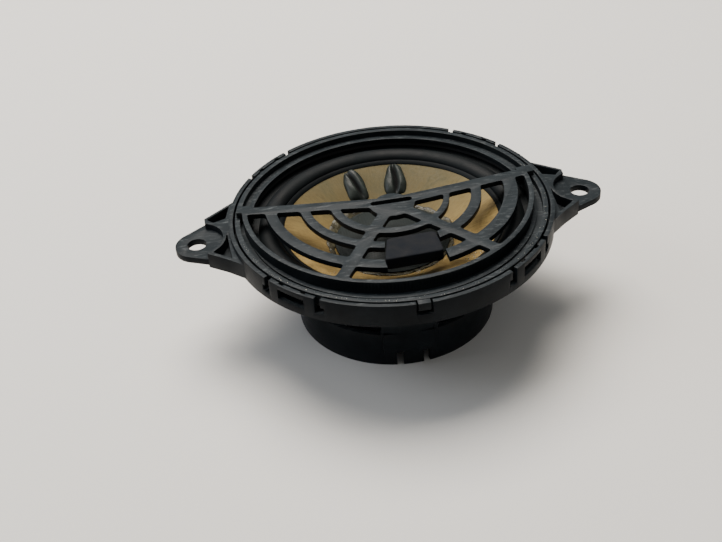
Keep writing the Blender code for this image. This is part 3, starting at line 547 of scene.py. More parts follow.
def finish_piece(obj, mat, body, slot, *nodes, angle=38.0):
    """Material, smooth shading, the body it rides on and the CAD nodes it stands for; the slot argument is not
    used.
    """
    obj.data.materials.clear()
    obj.data.materials.append(mat)
    obj.data.shade_smooth()
    obj.data.set_sharp_from_angle(angle=math.radians(angle))
    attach(obj, body)
    if nodes:
        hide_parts(*nodes)
    return obj


# Basket
def mirrored(points, sign):
    side = [(sign * x, y) for x, y in points]
    return side if sign > 0 else side[::-1]


def make_basket():
    """Skirt and seat are one turned profile; the bowl, cup, ledge, ears and latches join it."""
    skirt = lathe("basket_moulding", [
        (RIM_R, RIM_TOP), (RIM_R, FLANGE_BOTTOM), (FLANGE_IN_R, FLANGE_BOTTOM), (FLANGE_IN_R, FLANGE_TOP),
        (RIM_R - RIM_WALL, FLANGE_TOP), (RIM_R - RIM_WALL, RIM_TOP)])
    bowl = lathe("bowl_wall", [
        (FLANGE_IN_R + 1.8, FLANGE_BOTTOM + 0.7), (CUP_TOP_R - 0.2, CUP_TOP - 0.8),
        (CUP_TOP_R - CUP_WALL + 0.3, CUP_TOP - 0.8), (FLANGE_IN_R + 0.35, FLANGE_BOTTOM + 0.7)], 192)
    space = lathe("strut_space", [
        (RIM_R + 2.0, FLANGE_TOP + 1.0), (RIM_R + 2.0, CUP_TOP - 2.0),
        (CUP_R - 6.0, CUP_TOP - 2.0), (CUP_R - 6.0, FLANGE_TOP + 1.0)], 96)
    keepers = [(radial_block("keeper_%d" % i, width, 8.0, 50.0, 0.0, 34.0, angle), "DIFFERENCE")
               for i, (angle, width) in enumerate(STRUTS)]
    combine(space, keepers, 0.0)
    combine(bowl, [(space, "DIFFERENCE")], 0.0)
    cup = lathe("cup_wall", [
        (CUP_TOP_R, CUP_TOP), (CUP_R, 0.0), (CUP_R - CUP_WALL, 0.0), (CUP_R - CUP_WALL, CUP_FLOOR_BOTTOM),
        (VENT_R, CUP_FLOOR_BOTTOM), (VENT_R, CUP_FLOOR_TOP), (CUP_TOP_R - CUP_WALL, CUP_FLOOR_TOP),
        (CUP_TOP_R - CUP_WALL, CUP_TOP)], 224)
    ledge = lathe("spider_ledge", [(LEDGE_OUT_R, LEDGE_TOP), (LEDGE_OUT_R - 0.7, LEDGE_BOTTOM),
                                   (LEDGE_IN_R, LEDGE_BOTTOM), (LEDGE_IN_R, LEDGE_TOP)], 160)
    steps = [(bowl, "UNION"), (cup, "UNION"),
             (block("bracket", (8.0, 3.4, 4.8), (0.0, 31.2, 17.4)), "UNION"), (ledge, "UNION")]
    steps.append((radial_block("strut_panel", 13.0, 25.9, 27.75, 5.2, 11.3, 267.5), "UNION"))
    for side, sign in (("right", 1.0), ("left", -1.0)):
        centre = (EAR_HOLE_X, 0.0)
        root = arc((0.0, 0.0), RIM_R - 0.5, 20.0, -20.0, 12)
        front_edge = [EAR_FRONT_ROOT, (43.7, -10.9), EAR_FRONT_BEND]
        plate = arc(centre, EAR_TIP_R, -68.0, 58.0, 28) + [EAR_BACK_CORNER, EAR_BACK_ROOT] + root + front_edge
        body = arc(centre, EAR_STEP_R, 249.0, 112.0, 26) + [EAR_BACK_CORNER, EAR_BACK_ROOT] + root + front_edge
        front = [(42.9, -0.2)] + arc(centre, EAR_STEP_R + 0.8, 181.0, 229.0, 14) + EAR_FRONT_POCKET
        ear = prism("ear_" + side, [mirrored(plate, sign)], EAR_BOTTOM, EAR_TOP)
        hole = lathe("hole_" + side, [(0.0, 33.0), (EAR_HOLE_R, 33.0), (EAR_HOLE_R, 24.0), (0.0, 24.0)], 48, False)
        hole.data.transform(Matrix.Translation((sign * EAR_HOLE_X * MM, 0.0, 0.0)))
        combine(ear, [
            (prism("body_" + side, [mirrored(body, sign)], FLANGE_BOTTOM + 0.2, EAR_BODY_TOP), "UNION"),
            (prism("back_" + side, [mirrored(EAR_BACK_POCKET, sign)], EAR_POCKET_FLOOR, EAR_BODY_TOP + 1.0),
             "DIFFERENCE"),
            (prism("front_" + side, [mirrored(front, sign)], EAR_POCKET_FLOOR, EAR_BODY_TOP + 1.0), "DIFFERENCE"),
            (hole, "DIFFERENCE")], 0.0)
        steps.append((ear, "UNION"))
    for quarter in range(4):
        base = 90.0 * quarter
        for label, angle, turn in (("near", 34.5, -1.0), ("far", 55.5, 1.0)):
            cut = radial_block("slot_%s_%d" % (label, quarter), 1.6, RIM_R - 3.0, RIM_R + 2.0,
                               FLANGE_TOP + 0.6, RIM_TOP + 2.0, base + angle)
            hook = radial_block("hook_%s_%d" % (label, quarter), 1.6, RIM_R - 3.0, RIM_R + 2.0,
                                FLANGE_TOP + 0.9, FLANGE_TOP + 2.5, base + angle + turn * 1.3)
            steps += [(cut, "DIFFERENCE"), (hook, "DIFFERENCE")]
        window = radial_block("window_%d" % quarter, 8.0, RIM_R - 3.0, RIM_R + 2.0, 27.4, 30.2, base + 45.0)
        steps.append((window, "DIFFERENCE"))
        for label, offset in (("a", 4.6), ("b", -4.6)):
            catch = radial_block("catch_%s_%d" % (label, quarter), 1.5, RIM_R - 2.0, RIM_R - 0.6,
                                 RIM_TOP - 0.7, RIM_TOP + 1.0, base + 45.0 + offset)
            steps.append((catch, "DIFFERENCE"))
    steps.append((radial_block("key_notch", 4.0, RIM_R - 3.0, RIM_R + 2.0, 28.2, RIM_TOP + 2.0, -89.3),
                  "DIFFERENCE"))
    for label, angle in (("left", -97.7), ("right", -82.7)):
        steps.append((radial_block("slit_" + label, 1.7, CUP_R - 3.0, CUP_R + 2.0, -1.0, 4.2, angle), "DIFFERENCE"))
    return combine(skirt, steps, 0.22)


def meet(start, direction, centre, radius):
    """Where a ray from inside a circle leaves it."""
    offset = start - centre
    along = offset.dot(direction)
    return start + direction * (-along + math.sqrt(along * along - offset.length_squared + radius * radius))


def opening(first, second, inner, outer, corner):
    """One web opening between two arms and two circles, with rounded corners."""
    corners = []
    for angle, side in ((first, 1.0), (second, -1.0)):
        way = Vector((*polar(1.0, angle), 0.0))
        edge = HUB + Vector((-way.y, way.x, 0.0)) * ARM_HALF * side
        corners.append([meet(edge, way, *inner), meet(edge, way, *outer)])
    runs = []
    for index, (centre, radius) in ((1, outer), (0, inner)):
        a, b = corners[0][index] - centre, corners[1][index] - centre
        start = math.degrees(math.atan2(a.y, a.x)) % 360.0
        end = math.degrees(math.atan2(b.y, b.x)) % 360.0
        end += 360.0 if end < start else 0.0
        back = math.degrees(corner / radius)
        run = arc((centre.x, centre.y), radius, start + back, end - back, max(6, int((end - start) / 2.5)))
        runs.append(run if index else run[::-1])
    outline = []
    tops = (corners[0][1], corners[1][1], corners[1][0], corners[0][0])

    def bend(before, at, after):
        b, c, a = np.array(before[:2]), np.array(at[:2]), np.array(after[:2])
        return [tuple((1 - t) ** 2 * b + 2 * t * (1 - t) * c + t * t * a) for t in (0.25, 0.5, 0.75)]

    def toward(point, other):
        step = Vector(other[:2]) - Vector(point[:2])
        return Vector(point[:2]) + step.normalized() * min(corner, step.length * 0.4)

    outline += runs[0]
    leave = toward(tops[1], tops[2])
    outline += bend(runs[0][-1], tops[1], leave) + [tuple(leave)]
    arrive = toward(tops[2], tops[1])
    outline += [tuple(arrive)] + bend(arrive, tops[2], runs[1][0])
    outline += runs[1]
    leave = toward(tops[3], tops[0])
    outline += bend(runs[1][-1], tops[3], leave) + [tuple(leave)]
    arrive = toward(tops[0], tops[3])
    outline += [tuple(arrive)] + bend(arrive, tops[0], runs[0][0])
    return outline


def pocket_outline():
    """The block's outline with a small gap round it, carried forward through the band in front."""
    half_x, half_y = BLOCK_SIZE[0] / 2.0, BLOCK_SIZE[1] / 2.0
    left, right = -half_x - BLOCK_FLARE - BLOCK_GAP, half_x + BLOCK_GAP
    front, back = -half_y - BLOCK_GAP - BLOCK_NOTCH, half_y + BLOCK_GAP
    corners = ((left, front), (right, front), (right, back),
               (BLOCK_TAPER - half_x - BLOCK_GAP, back), (left, -half_y))
    t = math.radians(BLOCK_TURN)
    return [(x * math.cos(t) - y * math.sin(t) + BLOCK_CENTRE[0],
             x * math.sin(t) + y * math.cos(t) + BLOCK_CENTRE[1]) for x, y in corners]


def make_grille():
    """A stepped turned ring, a raised half wall, and the web plate with its openings."""
    ring = lathe("grille_moulding", [
        (GRILLE_R, RIM_TOP), (GRILLE_R, GRILLE_BOTTOM), (GRILLE_IN_R, GRILLE_BOTTOM),
        (GRILLE_IN_R, RIDGE_TOP), (RIDGE_R, RIDGE_TOP), (RIDGE_R, CHANNEL_FLOOR),
        (GRILLE_LEDGE_R, CHANNEL_FLOOR), (GRILLE_LEDGE_R, RIM_TOP)])
    first, last = ARM_ANGLES[0], ARM_ANGLES[-1]
    left, right = Vector((*polar(1.0, first), 0.0)), Vector((*polar(1.0, last), 0.0))
    left_end = meet(HUB + Vector((left.y, -left.x, 0.0)) * ARM_HALF, left, WALL_CENTRE, WALL_OUT_R) - WALL_CENTRE
    right_end = meet(HUB + Vector((-right.y, right.x, 0.0)) * ARM_HALF, right, WALL_CENTRE, WALL_OUT_R)
    right_end -= WALL_CENTRE
    start = math.degrees(math.atan2(left_end.y, left_end.x))
    end = math.degrees(math.atan2(right_end.y, right_end.x)) + 360.0
    middle = WALL_CENTRE.xy
    wall = prism("half_wall", [arc(middle, WALL_OUT_R, start + 2.0, end - 2.0, 150)
                               + arc(middle, WALL_IN_R, end - 2.0, start + 2.0, 150)],
                 GRILLE_BOTTOM, WEB_TOP - 0.01)
    floor_plate = prism("wall_floor", [arc((0, 0), RIDGE_R - 0.3, WALL_FLOOR_START, WALL_FLOOR_END, 140)
                                       + arc(middle, WALL_IN_R + 0.2, WALL_FLOOR_END, WALL_FLOOR_START, 140)],
                        GRILLE_BOTTOM + 0.02, CHANNEL_FLOOR)
    outline = arc(middle, WALL_OUT_R, start, end, 150) + arc((HUB.x, HUB.y), 4.6, 40.0, 140.0, 6)
    holes = [opening(a, b, inner, outer, 0.9) for a, b in zip(ARM_ANGLES, ARM_ANGLES[1:])
             for inner, outer in WEB_GAPS]
    holes.append([(HUB.x + x, HUB.y + 0.9 + y + 0.02 * x) for x, y in
                  arc((4.6, 0.0), 0.9, -90.0, 90.0, 6) + arc((-4.6, 0.0), 0.9, 90.0, 270.0, 6)])
    steps = [(wall, "UNION"), (floor_plate, "UNION"),
             (prism("web", [outline] + holes, WEB_TOP - WEB_T, WEB_TOP), "UNION")]
    for label, angle in (("left", first), ("right", last)):
        steps.append((radial_block("root_" + label, 2.0 * ARM_HALF, WALL_IN_R - 0.8, GRILLE_LEDGE_R + 0.8,
                                   GRILLE_BOTTOM + 0.2, WEB_TOP - 0.2, angle), "UNION"))
    steps.append((prism("pocket", [pocket_outline()], WEB_TOP - 6.0, WEB_TOP + 6.0), "DIFFERENCE"))
    steps.append((radial_block("key", 3.0, GRILLE_R - 0.8, RIM_R - 0.1, 29.3, RIM_TOP - 0.1, -89.3), "UNION"))
    return combine(ring, steps, 0.2)


finish_piece(make_basket(), BASKET_PLASTIC, "frame", "basket_plastic", "basket")
finish_piece(make_grille(), GRILLE_PLASTIC, "frame", "grille_plastic", "front_grille")


# Soft block in the web's pocket
def make_block():
    """A superellipsoid slab: each coordinate is the sign times a low power of the direction, so
    faces stay flat and edges turn over softly; the top dips a little by a cosine, and the left
    side leans in toward the back."""
    rows, columns = 64, 128
    v = (np.arange(rows) + 0.5) / rows * math.pi - math.pi / 2.0
    u = np.arange(columns) / columns * math.tau
    v, u = v[:, None], u[None, :]
    power = 0.16
    cx = np.sign(np.cos(u)) * np.abs(np.cos(u)) ** power * np.abs(np.cos(v)) ** power
    cy = np.sign(np.sin(u)) * np.abs(np.sin(u)) ** power * np.abs(np.cos(v)) ** power
    cz = np.broadcast_to(np.sign(np.sin(v)) * np.abs(np.sin(v)) ** power, cx.shape)
    low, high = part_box("damping_block")
    half = BLOCK_SIZE[0] / 2.0, BLOCK_SIZE[1] / 2.0, (high.z - low.z) / MM / 2.0
    middle = (high.z + low.z) / MM / 2.0
    dip = 0.12 * np.clip(cz, 0.0, 1.0) * np.cos(cx * 1.5) * np.cos(cy * 1.5)
    narrowing = np.clip(-cx, 0.0, 1.0) * 0.5 * (BLOCK_TAPER * (cy + 1.0) - BLOCK_FLARE * (1.0 - cy))
    x, y, z = cx * half[0] + narrowing, cy * half[1], cz * half[2] + middle - dip
    t = math.radians(BLOCK_TURN)
    points = np.stack([x * math.cos(t) - y * math.sin(t) + BLOCK_CENTRE[0],
                       x * math.sin(t) + y * math.cos(t) + BLOCK_CENTRE[1], z], -1).reshape(-1, 3)
    faces = grid_faces(rows, columns, False, True)[:, ::-1]
    obj = build("damping_block_foam", points, faces)
    bm = bmesh.new()
    bm.from_mesh(obj.data)
    bmesh.ops.holes_fill(bm, edges=[e for e in bm.edges if e.is_boundary], sides=0)
    bmesh.ops.recalc_face_normals(bm, faces=bm.faces)
    bm.to_mesh(obj.data)
    bm.free()
    return obj


finish_piece(make_block(), FOAM, "frame", "block_foam", "damping_block", angle=60.0)

gasket_low, gasket_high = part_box("surround_gasket")
finish_piece(lathe("gasket_ring", rounded([
    (40.4, gasket_high.z / MM), (40.4, gasket_low.z / MM), (37.1, gasket_low.z / MM), (37.1, gasket_high.z / MM)],
    0.25)), GASKET_FOAM, "frame", "gasket_foam", "surround_gasket")


# Cone, cap, surround and spider
def cone_height(radius):
    share = (radius - NECK_R) / (CONE_R - NECK_R)
    return NECK_Z + (CONE_TOP - NECK_Z) * (share + 0.18 * share * (1.0 - share))


def ripple(r, z, a):
    """Pressed paper is never flat: a sum of slow waves round the cone, under 0.05 mm high."""
    return 0.03 * np.sin(5.0 * a + 0.4 * r) + 0.02 * np.sin(11.0 * a - 0.9 * r)


def make_cone():
    """A flared shell; its height is a line plus a small parabola from neck to edge."""
    radii = np.linspace(CONE_R + 0.2, NECK_R, 48)
    under = np.stack([radii, cone_height(radii) - 0.52], -1)
    over = np.stack([radii[::-1], cone_height(radii[::-1]) - 0.06], -1)
    return lathe("cone_paper", np.concatenate([under, over]), 288, True, ripple)


finish_piece(make_cone(), PAPER, "cone_assembly", "cone_paper", "paper_cone", angle=50.0)

CAP_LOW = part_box("dust_cap")[0].z / MM
CAP_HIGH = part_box("dust_cap")[1].z / MM


def make_cap():
    """A shallow dome with a turned-out rim: height falls with the square of the radius, and a
    rolled rim adds a small bump near the edge."""
    radii = np.linspace(0.0, CAP_R, 40)
    rise = (CAP_HIGH - CAP_LOW - 0.5) * (1.0 - (radii / CAP_R) ** 2)
    rim = 0.12 * np.exp(-((radii - 13.9) / 0.45) ** 2)
    top = CAP_LOW + rise + rim + 0.38
    over = np.stack([radii, top], -1)
    under = np.stack([radii[::-1], top[::-1] - 0.35], -1)
    return lathe("cap_dome", np.concatenate([over, under]), 192, False)


finish_piece(make_cap(), CAP_CLOTH, "cone_assembly", "cap_cloth", "dust_cap", angle=60.0)


def make_surround():
    """A seat, a half roll and an inner lip. The roll's middle line is a half ellipse, and the
    skin is that line moved half a thickness either way."""
    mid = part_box("rubber_surround")[0].z / MM + 0.3
    turn = np.linspace(0.0, math.pi, 28)
    centre, half, rise, skin_half = 32.25, 2.35, 1.65, 0.24

    def skin(offset):
        return np.stack([centre + (half + offset) * np.cos(turn), mid + (rise + offset) * np.sin(turn)], -1)

    under, over = skin(-skin_half), skin(skin_half)
    lower = [(40.2, mid + 0.28), (40.2, mid - 0.28), (centre + half + 0.4, mid - 0.28)]
    lip = cone_height(28.2) - 0.02
    inner = [(29.75, mid - 0.1), (29.55, CONE_TOP - 0.02), (28.2, lip), (28.3, lip + 0.3), (29.3, CONE_TOP + 0.34)]
    upper = [(centre + half + 0.6, mid + 0.28)]
    profile = np.concatenate([lower, under[1:-1], inner, over[::-1][1:-1], upper])
    return lathe("surround_rubber", profile, ROUND)


def radial_weight(obj):
    """Reads the position of each point; the blend weight by radius, 1 at the inner radius and 0 at the outer one,
    is not computed.
    """
    points = np.zeros(len(obj.data.vertices) * 3, np.float32)
    obj.data.vertices.foreach_get("co", points)


def stretch_piece(obj, mat, node, angle=50.0):
    """A skin between the frame at its outer radius and the cone at its inner one, given its material and smooth
    shading; it is attached to no body.
    """
    obj.data.materials.clear()
    obj.data.materials.append(mat)
    obj.data.shade_smooth()
    obj.data.set_sharp_from_angle(angle=math.radians(angle))
    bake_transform(obj)
    radial_weight(obj)
    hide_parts(node)
    return obj


stretch_piece(make_surround(), RUBBER, "rubber_surround")


def make_spider():
    """A corrugated ring: height is a cosine wave of the radius that fades in at both ends."""
    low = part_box("spider")[0].z / MM
    radii = np.linspace(27.4, 12.8, 90)
    share = np.clip((radii - 13.8) / 10.0, 0.0, 1.0)
    fade = np.sin(share * math.pi) ** 0.35
    wave = 0.55 * (1.0 - np.cos(math.tau * 4.0 * share)) * fade
    under = np.stack([radii, low + wave + 0.02], -1)
    over = np.stack([radii[::-1], low + wave[::-1] + 0.38], -1)
    return lathe("spider_cloth", np.concatenate([under, over]), 200)


stretch_piece(make_spider(), SPIDER_CLOTH, "spider")

# Motor and coil
for name, node, mat, slot, edge in (
        ("magnet_ferrite", "ring_magnet", FERRITE, "ferrite", 0.5),
        ("top_plate_steel", "top_plate", STEEL, "steel", 0.3)):
    low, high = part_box(node)
    inner = 15.4 if node == "ring_magnet" else 13.7
    outer = high.x / MM
    finish_piece(lathe(name, rounded([(outer, high.z / MM), (outer, low.z / MM), (inner, low.z / MM),
                                      (inner, high.z / MM)], edge, 3), 160), mat, "frame", slot, node)
yoke_low, yoke_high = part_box("yoke_and_pole")
finish_piece(lathe("yoke_steel", rounded([
    (11.7, yoke_high.z / MM), (11.7, yoke_low.z / MM + 2.7), (yoke_high.x / MM, yoke_low.z / MM + 2.7),
    (yoke_high.x / MM, yoke_low.z / MM), (VENT_R, yoke_low.z / MM), (VENT_R, yoke_high.z / MM)], 0.3, 3), 160),
    STEEL, "frame", "steel", "yoke_and_pole")
screen_low, screen_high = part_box("vent_screen")


def make_screen():
    """A disc of gauze that sags a little at the middle over the vent."""
    radii = np.linspace(0.0, screen_high.x / MM - 0.05, 24)
    sag = -0.04 * np.cos(np.clip(radii / 4.0, 0.0, 1.0) * math.pi * 0.5)
    high, low = screen_high.z / MM, screen_low.z / MM
    over = np.stack([radii, high - 0.02 + sag], -1)
    under = np.stack([radii[::-1], low + 0.06 + sag[::-1]], -1)
    return lathe("vent_gauze_disc", np.concatenate([over, under]), 96, False)


finish_piece(make_screen(), GAUZE, "frame", "vent_gauze", "vent_screen")
former_low, former_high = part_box("coil_former")
finish_piece(lathe("former_film", rounded([
    (12.5, former_high.z / MM), (12.5, former_low.z / MM), (12.25, former_low.z / MM),
    (12.25, former_high.z / MM)], 0.05, 2), 160), FILM, "cone_assembly", "former_film", "coil_former")


def make_winding():
    """The wound coil: the outer side is a row of half-round turns, one per wire."""
    low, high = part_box("voice_coil")
    turns = 20
    steps = np.linspace(0.0, 1.0, turns * 6 + 1)
    z = high.z / MM - steps * (high.z - low.z) / MM
    r = high.x / MM - 0.1 + 0.09 * np.abs(np.sin(steps * turns * math.pi))
    outer = np.stack([r, z], -1)
    inner = np.array([(12.82, low.z / MM), (12.82, high.z / MM)])
    return lathe("winding_copper", np.concatenate([outer, inner]), 160)


finish_piece(make_winding(), COPPER, "cone_assembly", "copper", "voice_coil")


# Lead dabs: glue skinned over the lead-outs
def make_dab(name, node, x, y, slant, seed):
    """A long blister on the cone: height over the cone is a smooth dome of the two local
    coordinates, split by a groove along its length, with ripples from summed sines."""
    rows, columns = 72, 56
    s = np.linspace(-1.0, 1.0, rows)[:, None]
    t = np.linspace(-1.0, 1.0, columns)[None, :]
    reach = 4.5 + 0.3 * np.sin(3.0 * t + seed)
    width = 2.85 * (1.0 - 0.2 * s) * (1.0 + 0.06 * np.sin(4.0 * s + seed))
    edge = np.sqrt(np.clip(1.0 - 0.5 * s ** 4, 0.0, 1.0))
    lx, ly = t * width * edge, s * reach
    dome = np.clip(1.0 - np.abs(s) ** 3.0, 0.0, 1.0) * np.clip(1.0 - np.abs(t) ** 2.6, 0.0, 1.0)
    path = slant * s + 0.08 * np.sin(3.0 * s + seed)
    groove = np.exp(-((t - path) / 0.24) ** 2) * np.clip(1.0 - s * s, 0.0, 1.0) ** 0.5
    lift = 1.7 * dome ** 0.6 - 1.5 * groove * dome ** 0.3 + 0.07 * np.sin(7.0 * s + 5.0 * t + seed) * dome
    turn = -math.atan2(x, y) * 0.6
    px = x + lx * math.cos(turn) - ly * math.sin(turn)
    py = y + lx * math.sin(turn) + ly * math.cos(turn)
    base = cone_height(np.hypot(px, py))
    top = np.stack([px, py, base + 0.02 + np.clip(lift, 0.0, 2.0)], -1)
    bottom = np.stack([px, py, base - 0.2], -1)
    count = rows * columns
    faces = grid_faces(rows, columns, False, False)
    points = np.concatenate([top.reshape(-1, 3), bottom.reshape(-1, 3)])
    border = np.concatenate([np.arange(columns), np.arange(1, rows) * columns + columns - 1,
                             np.arange(columns - 2, -1, -1) + (rows - 1) * columns,
                             np.arange(rows - 2, 0, -1) * columns])
    after = np.roll(border, -1)
    sides = np.stack([border, after, after + count, border + count], -1)
    obj = build(name, points, np.concatenate([faces, faces[:, ::-1] + count, sides]))
    # Painted shade: the groove's depth is kept on the points so that the glue's colour goes near black in the
    # crease.
    crease = obj.data.attributes.new("crease", "FLOAT", "POINT")
    depth = np.clip(1.3 * groove * dome ** 0.2, 0.0, 1.0).astype(np.float32).ravel()
    crease.data.foreach_set("value", np.concatenate([depth, np.zeros(count, np.float32)]))
    bm = bmesh.new()
    bm.from_mesh(obj.data)
    bmesh.ops.recalc_face_normals(bm, faces=bm.faces)
    bm.to_mesh(obj.data)
    bm.free()
    return finish_piece(obj, GLUE, "cone_assembly", "lead_glue", node, angle=70.0)


make_dab("dab_glue_left", "lead_dab_left", -6.4, 22.6, -0.55, 0.7)
make_dab("dab_glue_right", "lead_dab_right", 5.0, 22.8, -0.12, 2.1)


# Glue round the cap, and crumbs of glue and dust
def make_glue_ring():
    """A smeared bead round the cap: a flat oval section whose width, height and middle radius
    swell and thin with summed sines, so it wrinkles as dried glue does."""
    rows, columns = 420, 16
    a = (np.arange(rows) / rows * math.tau)[:, None]
    b = (np.arange(columns) / columns * math.tau)[None, :]
    wide = 1.15 + 0.3 * np.sin(3 * a + 0.6) + 0.16 * np.sin(11 * a) + 0.1 * np.sin(29 * a)
    tall = 0.34 + 0.1 * np.sin(7 * a) * np.sin(17 * a) + 0.09 * np.sin(41 * a + 2.0 * np.cos(b))
    r = CAP_R + 0.7 + wide * np.cos(b) + 0.15 * np.sin(6 * a)
    x, y = r * np.cos(a) - 0.5, r * np.sin(a)
    z = cone_height(np.hypot(x, y)) + 0.1 + tall * np.sin(b)
    return build("cap_glue_bead", np.stack([x, y, z], -1).reshape(-1, 3), grid_faces(rows, columns, True, True))


bead = make_glue_ring()
finish_piece(bead, CLEAR_GLUE, "cone_assembly", "lead_glue", angle=70.0)


def scatter(name, count, seed, place, size):
    """Small lumps: low-poly spheres squashed and scaled, one per random place."""
    rng = np.random.default_rng(seed)
    rows, columns = 5, 8
    v = np.linspace(0.0, math.pi, rows)[:, None]
    u = (np.arange(columns) / columns * math.tau)[None, :]
    ball = np.stack([np.sin(v) * np.cos(u), np.sin(v) * np.sin(u), np.broadcast_to(np.cos(v), (rows, columns))],
                    -1).reshape(-1, 3)
    centres = place(rng, count)
    scale = size[0] + (size[1] - size[0]) * rng.random(count)[:, None, None] ** 3
    shape = 0.6 + 0.8 * rng.random((count, 1, 3))
    points = centres[:, None, :] + ball[None] * scale * shape
    one = grid_faces(rows, columns, False, True)
    faces = one[None] + (np.arange(count) * rows * columns)[:, None, None]
    obj = build(name, points.reshape(-1, 3), faces.reshape(-1, 4))
    bm = bmesh.new()
    bm.from_mesh(obj.data)
    bmesh.ops.remove_doubles(bm, verts=bm.verts, dist=0.00000005)
    bmesh.ops.recalc_face_normals(bm, faces=bm.faces)
    bm.to_mesh(obj.data)
    bm.free()
    return obj


def on_cone(rng, count):
    """Crumbs gather at the foot of the cap and near the cone's edge on the web's side."""
    near = rng.random(count) < 0.45
    angle = np.where(near, rng.uniform(-2.7, 0.2, count), rng.uniform(-2.4, -0.7, count))
    radius = np.where(near, rng.uniform(15.8, 18.5, count), rng.uniform(24.5, 28.8, count))
    return np.stack([radius * np.cos(angle), radius * np.sin(angle), cone_height(radius) + 0.02], -1)


finish_piece(scatter("cone_crumbs", 420, 7, on_cone, (0.03, 0.17)), FLAKES, "cone_assembly", "lead_glue",
             angle=70.0)


def on_ring(rng, count):
    """Grit sits on the grille's outer ledge, most of it on the front and the right."""
    angle = rng.uniform(-3.0, 0.6, count)
    radius = rng.uniform(GRILLE_LEDGE_R + 0.15, GRILLE_R - 0.15, count)
    return np.stack([radius * np.cos(angle), radius * np.sin(angle), np.full(count, RIM_TOP + 0.01)], -1)


finish_piece(scatter("ring_grit", 150, 11, on_ring, (0.03, 0.12)), FLAKES, "frame", "grille_plastic", angle=70.0)

# Connector, blades and leads
board_low, board_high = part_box("connector_housing")


def make_board():
    """The plug housing, with a slot for each blade and a lead-in round the slots."""
    size = tuple((board_high - board_low) / MM)
    centre = tuple((board_high + board_low) / MM / 2.0)
    body = block("connector_moulding", size, centre)
    steps = []
    for i, x in enumerate((-5.5, 5.5)):
        steps.append((block("slot_%d" % i, (3.4, 1.4, 20.0), (x, centre[1], 15.0)), "DIFFERENCE"))
    steps.append((block("recess", (16.2, 0.5, 5.4), (0.0, board_high.y / MM, 15.4)), "DIFFERENCE"))
    return combine(body, steps, 0.3, 32.0, 3)


finish_piece(make_board(), BASKET_PLASTIC, "frame", "basket_plastic", "connector_housing")


def make_blade(name, node):
    """A stamped blade: a rounded-rectangle section swept upright, tapered at the tip."""
    low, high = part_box(node)
    cx, cy = (low.x + high.x) / MM / 2.0, (low.y + high.y) / MM / 2.0
    w, d = (high.x - low.x) / MM / 2.0, (high.y - low.y) / MM / 2.0
    section = rounded([(w, d), (-w, d), (-w, -d), (w, -d)], 0.2, 4)
    heights = np.array([0.0, 0.3, 0.9, 1.6, 12.6, 13.6, 14.0]) + low.z / MM
    taper = np.array([0.45, 0.62, 0.86, 1.0, 1.0, 0.96, 0.85])
    points = np.concatenate([np.column_stack([section * k + (cx, cy), np.full(len(section), z)])
                             for z, k in zip(heights, taper)])
    obj = build(name, points, grid_faces(len(heights), len(section), False, True))
    bm = bmesh.new()
    bm.from_mesh(obj.data)
    bmesh.ops.holes_fill(bm, edges=[e for e in bm.edges if e.is_boundary], sides=0)
    bmesh.ops.recalc_face_normals(bm, faces=bm.faces)
    bm.to_mesh(obj.data)
    bm.free()
    return finish_piece(obj, TIN, "frame", "tinned_brass", node)


make_blade("blade_left", "terminal_blade_left")
make_blade("blade_right", "terminal_blade_right")


def make_lead(name, node, start, end):
    """Braided tinsel: three strands that wind round a sagging line, each a swept circle."""
    rows, columns, strands = 140, 8, 3
    s = np.linspace(0.0, 1.0, rows)
    line = (1 - s)[:, None] * np.array(start) + s[:, None] * np.array(end)
    line[:, 2] -= 5.28 * s * (1 - s)
    b = np.arange(columns) / columns * math.tau
    all_points, all_faces = [], []
    for k in range(strands):
        twist = s * math.tau * 9.0 + k * math.tau / strands
        centre = line + 0.2 * np.stack([np.cos(twist), np.zeros(rows), np.sin(twist)], -1)
        ring = 0.2 * np.stack([np.cos(b), np.zeros(columns), np.sin(b)], -1)
        all_points.append((centre[:, None, :] + ring[None]).reshape(-1, 3))
        all_faces.append(grid_faces(rows, columns, False, True) + k * rows * columns)
    obj = build(name, np.concatenate(all_points), np.concatenate(all_faces))
    bm = bmesh.new()
    bm.from_mesh(obj.data)
    bmesh.ops.holes_fill(bm, edges=[e for e in bm.edges if e.is_boundary], sides=0)
    bmesh.ops.recalc_face_normals(bm, faces=bm.faces)
    bm.to_mesh(obj.data)
    bm.free()
    obj.data.materials.append(BRAID)
    obj.data.shade_smooth()
    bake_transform(obj)
    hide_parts(node)
    return obj


lead_start = cone_height(19.2) - 1.65
make_lead("lead_left", "tinsel_lead_left", (-7.2, 18.7, lead_start), (-8.4, 34.6, 21.1))
make_lead("lead_right", "tinsel_lead_right", (4.7, 18.7, lead_start), (8.4, 34.6, 21.1))

# Floor, light and camera
floor_mat, _, floor_shader, _ = surface("paper_floor_matt", 0.9)
floor_shader.inputs["Base Color"].default_value = linear("#d6d4cf")
FLOOR_HALF = 8000.0
floor_steps = np.linspace(-FLOOR_HALF, FLOOR_HALF, 5)
floor_x, floor_y = np.meshgrid(floor_steps, floor_steps, indexing="ij")
floor_points = np.stack([floor_x, floor_y, np.zeros_like(floor_x)], -1).reshape(-1, 3)
floor = build("paper_floor", floor_points, grid_faces(5, 5, False, False))
floor.data.materials.append(floor_mat)
floor.data.shade_smooth()
floor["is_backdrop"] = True

world = bpy.data.worlds.new("soft_room")
world.use_nodes = True
world.node_tree.nodes["Background"].inputs["Color"].default_value = linear("#e4e7ea")
world.node_tree.nodes["Background"].inputs["Strength"].default_value = 0.3
bpy.context.scene.world = world

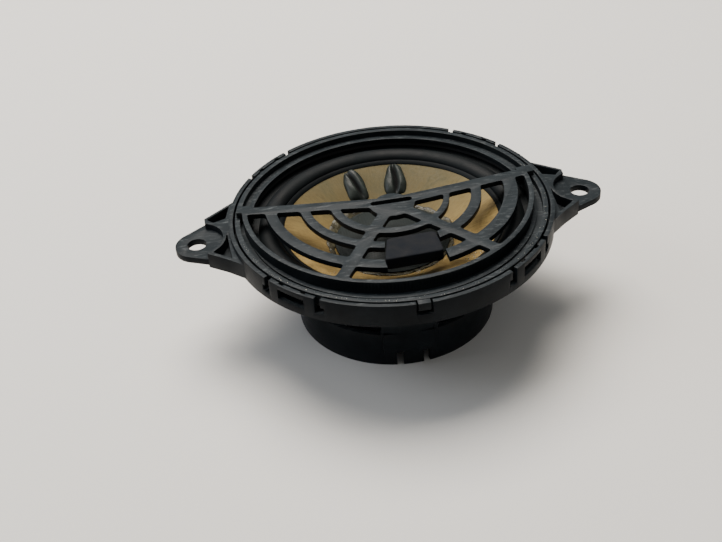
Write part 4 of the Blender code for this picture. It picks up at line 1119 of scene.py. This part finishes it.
for name, where, size, power, colour in (
        ("overhead", (-0.06, 0.40, 0.84), 0.62, 19.5, "#fff8f0"),
        ("window", (-0.8, 0.1, 0.6), 0.5, 4.0, "#eef4ff"),
        ("fill", (0.6, -0.7, 0.6), 0.8, 0.8, "#fffaf4")):
    lamp = bpy.data.lights.new(name, "AREA")
    lamp.size = size
    lamp.energy = power
    lamp.color = linear(colour)[:3]
    holder = bpy.data.objects.new(name, lamp)
    holder.location = where
    holder.rotation_euler = (Vector((0.0, 0.0, 0.015)) - Vector(where)).to_track_quat("-Z", "Y").to_euler()
    bpy.context.scene.collection.objects.link(holder)
    holder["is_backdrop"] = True

CAMERA_AZIMUTH = -8.35
CAMERA_ELEVATION = 36.59
CAMERA_DISTANCE = 0.3132
CAMERA_YAW = -1.65
CAMERA_PITCH = 0.146
CAMERA_ROLL = -3.357
TARGET = Vector((0.0, 0.0, 0.010))
azimuth, elevation = math.radians(CAMERA_AZIMUTH), math.radians(CAMERA_ELEVATION)
back = Vector((math.sin(azimuth) * math.cos(elevation), -math.cos(azimuth) * math.cos(elevation),
               math.sin(elevation)))
forward = -back
right = forward.cross(Vector((0.0, 0.0, 1.0))).normalized()
up = right.cross(forward)
yaw, pitch, roll = (math.radians(a) for a in (CAMERA_YAW, CAMERA_PITCH, CAMERA_ROLL))
looking = forward * math.cos(yaw) + right * math.sin(yaw)
right = right * math.cos(yaw) - forward * math.sin(yaw)
looking, up = looking * math.cos(pitch) + up * math.sin(pitch), up * math.cos(pitch) - looking * math.sin(pitch)
right, up = right * math.cos(roll) + up * math.sin(roll), up * math.cos(roll) - right * math.sin(roll)
camera_data = bpy.data.cameras.new("camera")
camera_data.sensor_width = 36.0
camera_data.lens = 57.5
camera_data.clip_start = 0.01
camera = bpy.data.objects.new("camera", camera_data)
pose = Matrix((right, up, -looking)).transposed().to_4x4()
pose.translation = TARGET + back * CAMERA_DISTANCE
camera.matrix_world = pose
bpy.context.scene.collection.objects.link(camera)
bpy.context.scene.camera = camera

low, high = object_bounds()
